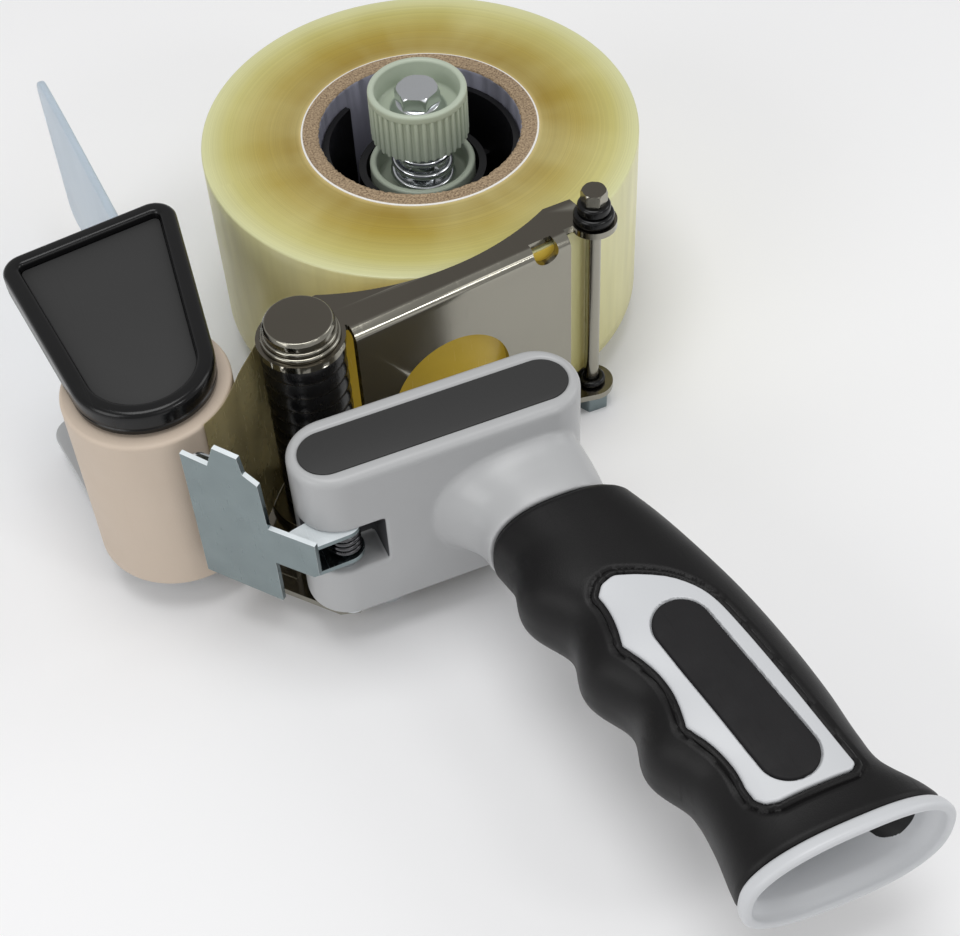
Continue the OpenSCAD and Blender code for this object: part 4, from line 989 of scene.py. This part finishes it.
grip = {"length": 98.4, "depth": 37.5, "thick": 29.6, "lean": 10.4, "round": 210, "rows": 190,
    "finger": 3.4, "fingerStart": 0.086, "fingerPitch": 0.2245, "fingers": 3,
    "front": [(0, 0.48), (0.12, 0.475), (0.4, 0.48), (0.77, 0.53), (0.85, 0.572), (0.93, 0.637), (1, 0.686)],
    "back": [(0, 0.417), (0.11, 0.481), (0.24, 0.519), (0.37, 0.535), (0.52, 0.519), (0.66, 0.479), (0.78, 0.423),
        (0.85, 0.413), (0.93, 0.513), (1, 0.542)],
    "half": [(0, 0.471), (0.2, 0.46), (0.5, 0.46), (0.79, 0.46), (0.92, 0.465), (1, 0.507)],
    "sleeveStart": 1.4, "sleeveEnd": 94.8, "sleeveWall": 2.8, "seat": 1.3, "bead": 0.22, "groove": 0.55,
    "inlayStart": 0.262, "inlayEnd": 0.871, "scallop": 2.5,
    "inlayBack": [(0.28, -0.8), (0.3, 2.6), (0.32, 5.2), (0.36, 8.1), (0.4, 9.3), (0.46, 9.5), (0.6, 8.9), (0.86, 7.0)],
    "badge": (-1.4, 0.611), "badgeTurn": 7.9, "badgeLen": 34.6, "badgeRadius": 6.3, "badgeSunk": 0.7, "badgeGap": 0.15,
    "inlayFront": (9.8, 4.9), "inlayPlate": {"raised": 0.25, "depth": 1.2, "edge": 0.55, "rows": 220, "columns": 130},
    "badgePlate": {"raised": 0.4, "depth": 0.6, "edge": 0.45, "rows": 120, "columns": 40},
    "coreRound": 480, "bore": (15.0, 9.0, 5.6, 3.6)}  # bore: painted shade spot for the dark hole inside the mouth, its place across, depth, half width, rounding
g = SimpleNamespace(**grip)


def gripSpan(d, wave=True):  # reach to the front, to the back and half height at distance d
    u = d / g.length
    k = (u - g.fingerStart) / g.fingerPitch
    swell = g.finger * (1 - cos(tau * k)) / 2 if wave and 0 < k < g.fingers else 0
    return g.depth * curve(u, g.front) + swell, g.depth * curve(u, g.back), g.thick * curve(u, g.half)


def gripRing(d, grown, count, wave=True):  # evenly spaced (x, distance, z) points across the grip
    front, back, half = (v + grown for v in gripSpan(d, wave))
    dense = np.array([ovalPoint(tau * k / 1200, front, back, half) for k in range(1201)])
    run = np.concatenate([[0], np.cumsum(np.hypot(*np.diff(dense, axis=0).T))])
    marks = np.linspace(0, run[-1], count, endpoint=False)
    x, z = (np.interp(marks, run, dense[:, k]) for k in (0, 1))
    return np.column_stack([x, np.full(count, d), z])


def gripTop(x, d, grown=0.0):  # height of the grip's upper side
    front, back, half = (v + grown for v in gripSpan(d))
    return half * max(0.0, 1 - abs(x / (back if x > 0 else front)) ** 2.5) ** 0.4


def inlayOutline():  # front edge follows the fingers, back edge is one long sweep
    first, last = g.inlayStart, g.inlayEnd
    reach, widen = g.inlayFront
    front = []
    for u in np.linspace(first + 0.03, last - 0.025, 70):
        k = min((u - g.fingerStart) / g.fingerPitch, g.fingers + 0.25)
        front.append((-reach - widen * (u - first) - g.scallop * (1 - abs(cos(pi * k))), u * g.length))
    back = [(curve(u, g.inlayBack), u * g.length) for u in np.linspace(last - 0.012, first + 0.018, 40)]
    ends = [(-12.4, (last - 0.008) * g.length), (-10.4, last * g.length), (5.4, last * g.length)]
    points = [(-4.8, first * g.length), (-8.0, (first + 0.009) * g.length)] + front + ends + back
    radii = [2.5, 2.5, 1.5] + [0] * (len(front) - 2) + [1.2, 1.2, 1.2, 1.4, 1.2] + [0] * (len(back) - 2) + [1.5]
    return np.array(roundCorners(points, radii))


def sides(outline):  # pairs of neighbouring points of a closed outline
    return zip(outline, np.roll(outline, -1, axis=0))


def signedDistance(points, outline):  # negative inside a closed 2-D outline
    px, py = points[:, 0], points[:, 1]
    best = np.full(len(points), 1e9)
    inside = np.zeros(len(points), bool)
    for (ax, ay), (bx, by) in sides(outline):
        ex, ey = bx - ax, by - ay
        t = np.clip(((px - ax) * ex + (py - ay) * ey) / max(ex * ex + ey * ey, 1e-12), 0, 1)
        best = np.minimum(best, np.hypot(px - ax - t * ex, py - ay - t * ey))
        if by != ay:
            inside ^= ((ay > py) != (by > py)) & (px < ex * (py - ay) / ey + ax)
    return np.where(inside, -best, best)


def atGrip(points):  # grip coordinates (x, distance, z) to the frame, along the leaning axis
    slide = tan(radians(g.lean))
    cx, cy = plan["pill"][0] + housing["grip"][0], plan["pill"][1] + housing["grip"][1]
    return [(cx + x + d * slide, cy - d, plan["half"] + z) for x, d, z in points]


def step(value, low, high):  # smooth rise from 0 to 1
    t = np.clip((value - low) / (high - low), 0, 1)
    return t * t * (3 - 2 * t)


def makeSleeve(outline):
    rows = np.linspace(g.sleeveStart, g.sleeveEnd, g.rows)
    skin, out = (np.concatenate([gripRing(d, grown, g.round) for d in rows]) for grown in (0, 1))
    away = signedDistance(skin[:, :2], outline)
    away = np.where(skin[:, 2] > 0, away, 99.0)  # only on the upper side
    press = -g.seat * (1 - step(away, 0.0, 0.35))  # seat of the inlay
    press += g.bead * step(away, 0.2, 0.6) * (1 - step(away, 1.1, 1.5))  # bead round it
    press -= g.groove * step(away, 1.3, 1.75) * (1 - step(away, 1.9, 2.5))  # groove outside the bead
    fromStart, toEnd = skin[:, 1] - g.sleeveStart, g.sleeveEnd - skin[:, 1]
    press -= 0.9 * (1 - step(fromStart, 0, 1.4)) + 0.5 * (1 - step(toEnd, 0, 0.8))  # rounded ends
    skin = skin + (out - skin) * press[:, None]
    loops = list(skin.reshape(g.rows, g.round, 3))
    loops += [gripRing(d, -g.sleeveWall, g.round, False) for d in np.linspace(g.sleeveEnd, g.sleeveStart, 16)]
    loops.append(loops[0])
    shape = loft([atGrip(loop) for loop in loops], capped=False)
    build("rubberSleeve", shape, "gripRubber", "black_rubber", "grip_sleeve", 55)


def rowSpan(outline, d):  # lowest and highest x of an outline at distance d
    hits = [ax + (d - ad) / (bd - ad) * (bx - ax) for (ax, ad), (bx, bd) in sides(outline) if (ad <= d) != (bd <= d)]
    return min(hits), max(hits)


def crowded(low, high, count, share):  # marks that lie closer together at both ends
    ends = low + (high - low) * (1 - np.cos(np.linspace(0, pi, count))) / 2
    return share * ends + (1 - share) * np.linspace(low, high, count)


def topPatch(outline, raised, depth, edge, rows, columns, dent=None):  # plate that follows the grip's upper side
    low, high = outline[:, 1].min() + 1e-4, outline[:, 1].max() - 1e-4
    flat = []
    for d in crowded(low, high, rows, 0.35):
        left, right = rowSpan(outline, d)
        flat += [(left + (right - left) * k, d) for k in crowded(0, 1, columns, 0.4)]
    flat = np.array(flat)
    away = -signedDistance(flat, outline)
    lift = raised - edge * (1 - np.sqrt(np.clip(1 - (1 - np.clip(away / edge, 0, 1)) ** 2, 0, 1)))
    if dent is not None:
        lift = lift - g.badgeSunk * (1 - step(signedDistance(flat, dent), -0.05, 0.3))
    top = [(x, d, gripTop(x, d, grown)) for (x, d), grown in zip(flat, lift)]
    under = [(x, d, gripTop(x, d, -depth)) for x, d in flat]
    count = len(top)
    corners = [i * columns + j for i in range(rows - 1) for j in range(columns - 1)]
    quads = [(c, c + 1, c + columns + 1, c + columns) for c in corners]
    faces = quads + [tuple(count + i for i in reversed(q)) for q in quads]
    ring = list(range(columns)) + [i * columns + columns - 1 for i in range(1, rows)]
    ring += [(rows - 1) * columns + j for j in range(columns - 2, -1, -1)]
    ring += [i * columns for i in range(rows - 2, 0, -1)]
    faces += [(a, b, count + b, count + a) for a, b in zip(ring, ring[1:] + ring[:1])]
    return atGrip(top + under), faces


def badgeOutline(grown):  # rounded bar turned a little off the grip's axis
    turn, slide = radians(g.badgeTurn), tan(radians(g.lean))
    x, u = g.badge
    mid, r, half = u * g.length, g.badgeRadius + grown, g.badgeLen / 2
    outline = []
    for a in np.linspace(0, tau, 120, endpoint=False):
        across, along = r * cos(a), r * sin(a) + (half if sin(a) >= 0 else -half)
        d = along * cos(turn) - across * sin(turn)
        outline.append((x + across * cos(turn) + along * sin(turn) - d * slide, mid + d))
    return np.array(outline)


def makeInlay(outline):
    inlay = topPatch(outline, **g.inlayPlate, dent=badgeOutline(g.badgeGap))
    build("gripInlay", inlay, "inlayPlastic", "grey_plastic", "grip_inlay", 45)
    badge = topPatch(badgeOutline(0), **g.badgePlate)
    build("gripBadge", badge, "badgeBlack", "charcoal_plate", "grip_badge", 45)


def makeGripCore():
    end, start = g.length, g.sleeveEnd
    steps = [(d, -g.sleeveWall - 0.1) for d in np.linspace(1.2, start, 12)]  # distance and growth
    steps += [(start + 0.2, -0.9), (start + 0.35, -0.25), (start + 0.8, 0.1), (start + 1.4, 0.2)]
    steps += [(end - 1.2 + 1.2 * sin(a), 0.2 - 1.1 * (1 - cos(a))) for a in quarter(8)]
    steps += [(end - 0.9 + 0.9 * cos(a), -1.2 - 0.8 * sin(a)) for a in np.linspace(0.2, pi / 2, 6)]
    mouth = len(steps) - 1
    marks = [*np.arange(end - 1.6, end - 5, -0.4), *np.arange(end - 5.2, end - 13, -0.2)]  # finer where the bore is
    marks += [*np.linspace(end - 14, 4.2, 10)]
    hollow = [(4.2, -5.3), (end - 30, -4.7), (end - 12, -4.2), (end - 4.2, -3.7), (end - 2.8, -3.1), (end - 1.6, -2.2)]
    steps += [(d, curve(d, hollow)) for d in marks]
    loops, dark = [], []
    across, depth, halfWidth, rounding = g.bore
    for i, (d, grown) in enumerate(steps + [steps[0]]):
        ring = gripRing(d, grown, g.coreRound, False)
        loops.append(atGrip(ring))
        # painted shade: the black finish goes on a spot of the lower inner wall at the bore and on the far inside of
        # the hollow
        short = max(0, d - end + depth) / rounding
        shadedDepth = d < end - depth - 4
        for x, _, z in ring:
            shadedBoreSpot = z < 0 and hypot((x - across) / halfWidth, short) < 1
            dark.append(int(i >= mouth and (shadedBoreSpot or shadedDepth)))
    shape = loft(loops, capped=False)
    build("gripLiner", shape, "inlayPlastic hubBlack", "grey_plastic", "grip_core", 50, faceMats=dark[:len(shape[1])])


edgeLine = inlayOutline()
makeSleeve(edgeLine)
makeInlay(edgeLine)
makeGripCore()
print("grip done")

# finishes of the nodes that stay

stays = {"spindle": "brightSteel", "spindle_collar": "brightSteel", "bracket_rivets": "nickelPlate",
    "tension_bush": "bushBronze", "applicator_core": "beigeRubber", "applicator_axle": "brightSteel",
    "pin_seal": "cheekBlack", "lower_washers": "hubBlack", "lower_nuts": "zincSheet", "flap_holder": "hubBlack",
    "fork_screws": "brightSteel", "guard_pivot": "brightSteel", "blade_screws": "brightSteel",
    "housing_screws": "brightSteel"}
for node, name in stays.items():
    mesh = frame["nodes"][node].data
    mesh.materials.clear()
    mesh.materials.append(mats[name])

# floor, light and camera

stage = {"floorHalf": 3000, "world": 0.42, "seen": 0.45, "aim": (-0.03, -0.07, 0.03), "lamps": [  # m, m across, W
    ("overhead", (-0.1, -0.05, 1.1), 0.6, 4.6), ("left", (-0.95, -0.35, 0.55), 0.6, 2.8),
    ("right", (0.9, -0.2, 0.6), 0.5, 1.6), ("front", (0.15, -1.1, 0.7), 0.6, 0.6),
    ("edges", (0.42, -0.82, 0.62), 0.16, 0.8)]}


@sized
def makeStage(s):
    h = s.floorHalf  # mm
    meshObject("floor", ([(-h, -h, 0), (h, -h, 0), (h, h, 0), (-h, h, 0)], [(0, 1, 2, 3)]), "paleFloor")
    world = scene.world = bpy.data.worlds.new("studio")
    world.use_nodes = True
    tree = world.node_tree
    shade = tree.nodes["Background"]
    shade.inputs["Color"].default_value = (1, 1, 1, 1)
    path = add(tree, "ShaderNodeLightPath").outputs
    clear = calc(tree, "MAXIMUM", path["Is Camera Ray"], path["Is Transmission Ray"])
    mirrored = mapped(tree, path["Is Glossy Ray"], 0.0, 1.0, s.world, s.seen)
    tree.links.new(calc(tree, "MAXIMUM", clear, mirrored), shade.inputs["Strength"])
    for name, spot, width, power in s.lamps:
        lamp = bpy.data.lights.new(name, "AREA")
        lamp.size, lamp.energy = width, power
        obj = link(name, lamp)
        obj.location = spot
        obj.rotation_euler = (Vector(s.aim) - Vector(spot)).to_track_quat("-Z", "Y").to_euler()


shot = {"place": (-115.25, -337.43, 345.20), "ahead": (0.2268, 0.6071, -0.7615), "across": (0.9367, -0.3500, 0.0),
    "roll": -0.05766, "lens": 66.91, "sensor": 36.0}


@sized
def makeCamera(s):
    data = bpy.data.cameras.new("photoView")
    data.lens, data.sensor_width, data.sensor_fit = s.lens, s.sensor, "HORIZONTAL"
    data.clip_start, data.clip_end = 0.01, 20
    ahead, flat = Vector(s.ahead).normalized(), Vector(s.across).normalized()
    rise = flat.cross(ahead)
    level = sqrt(1 - s.roll ** 2)
    right, up = level * flat + s.roll * rise, level * rise - s.roll * flat
    turn = Matrix((right, up, -ahead)).transposed()
    scene.camera = link("photoView", data)
    scene.camera.matrix_world = Matrix.Translation(Vector(s.place) * mm) @ turn.to_4x4()


makeStage(stage)
makeCamera(shot)
scene.view_settings.view_transform = "Standard"

print("stage done")
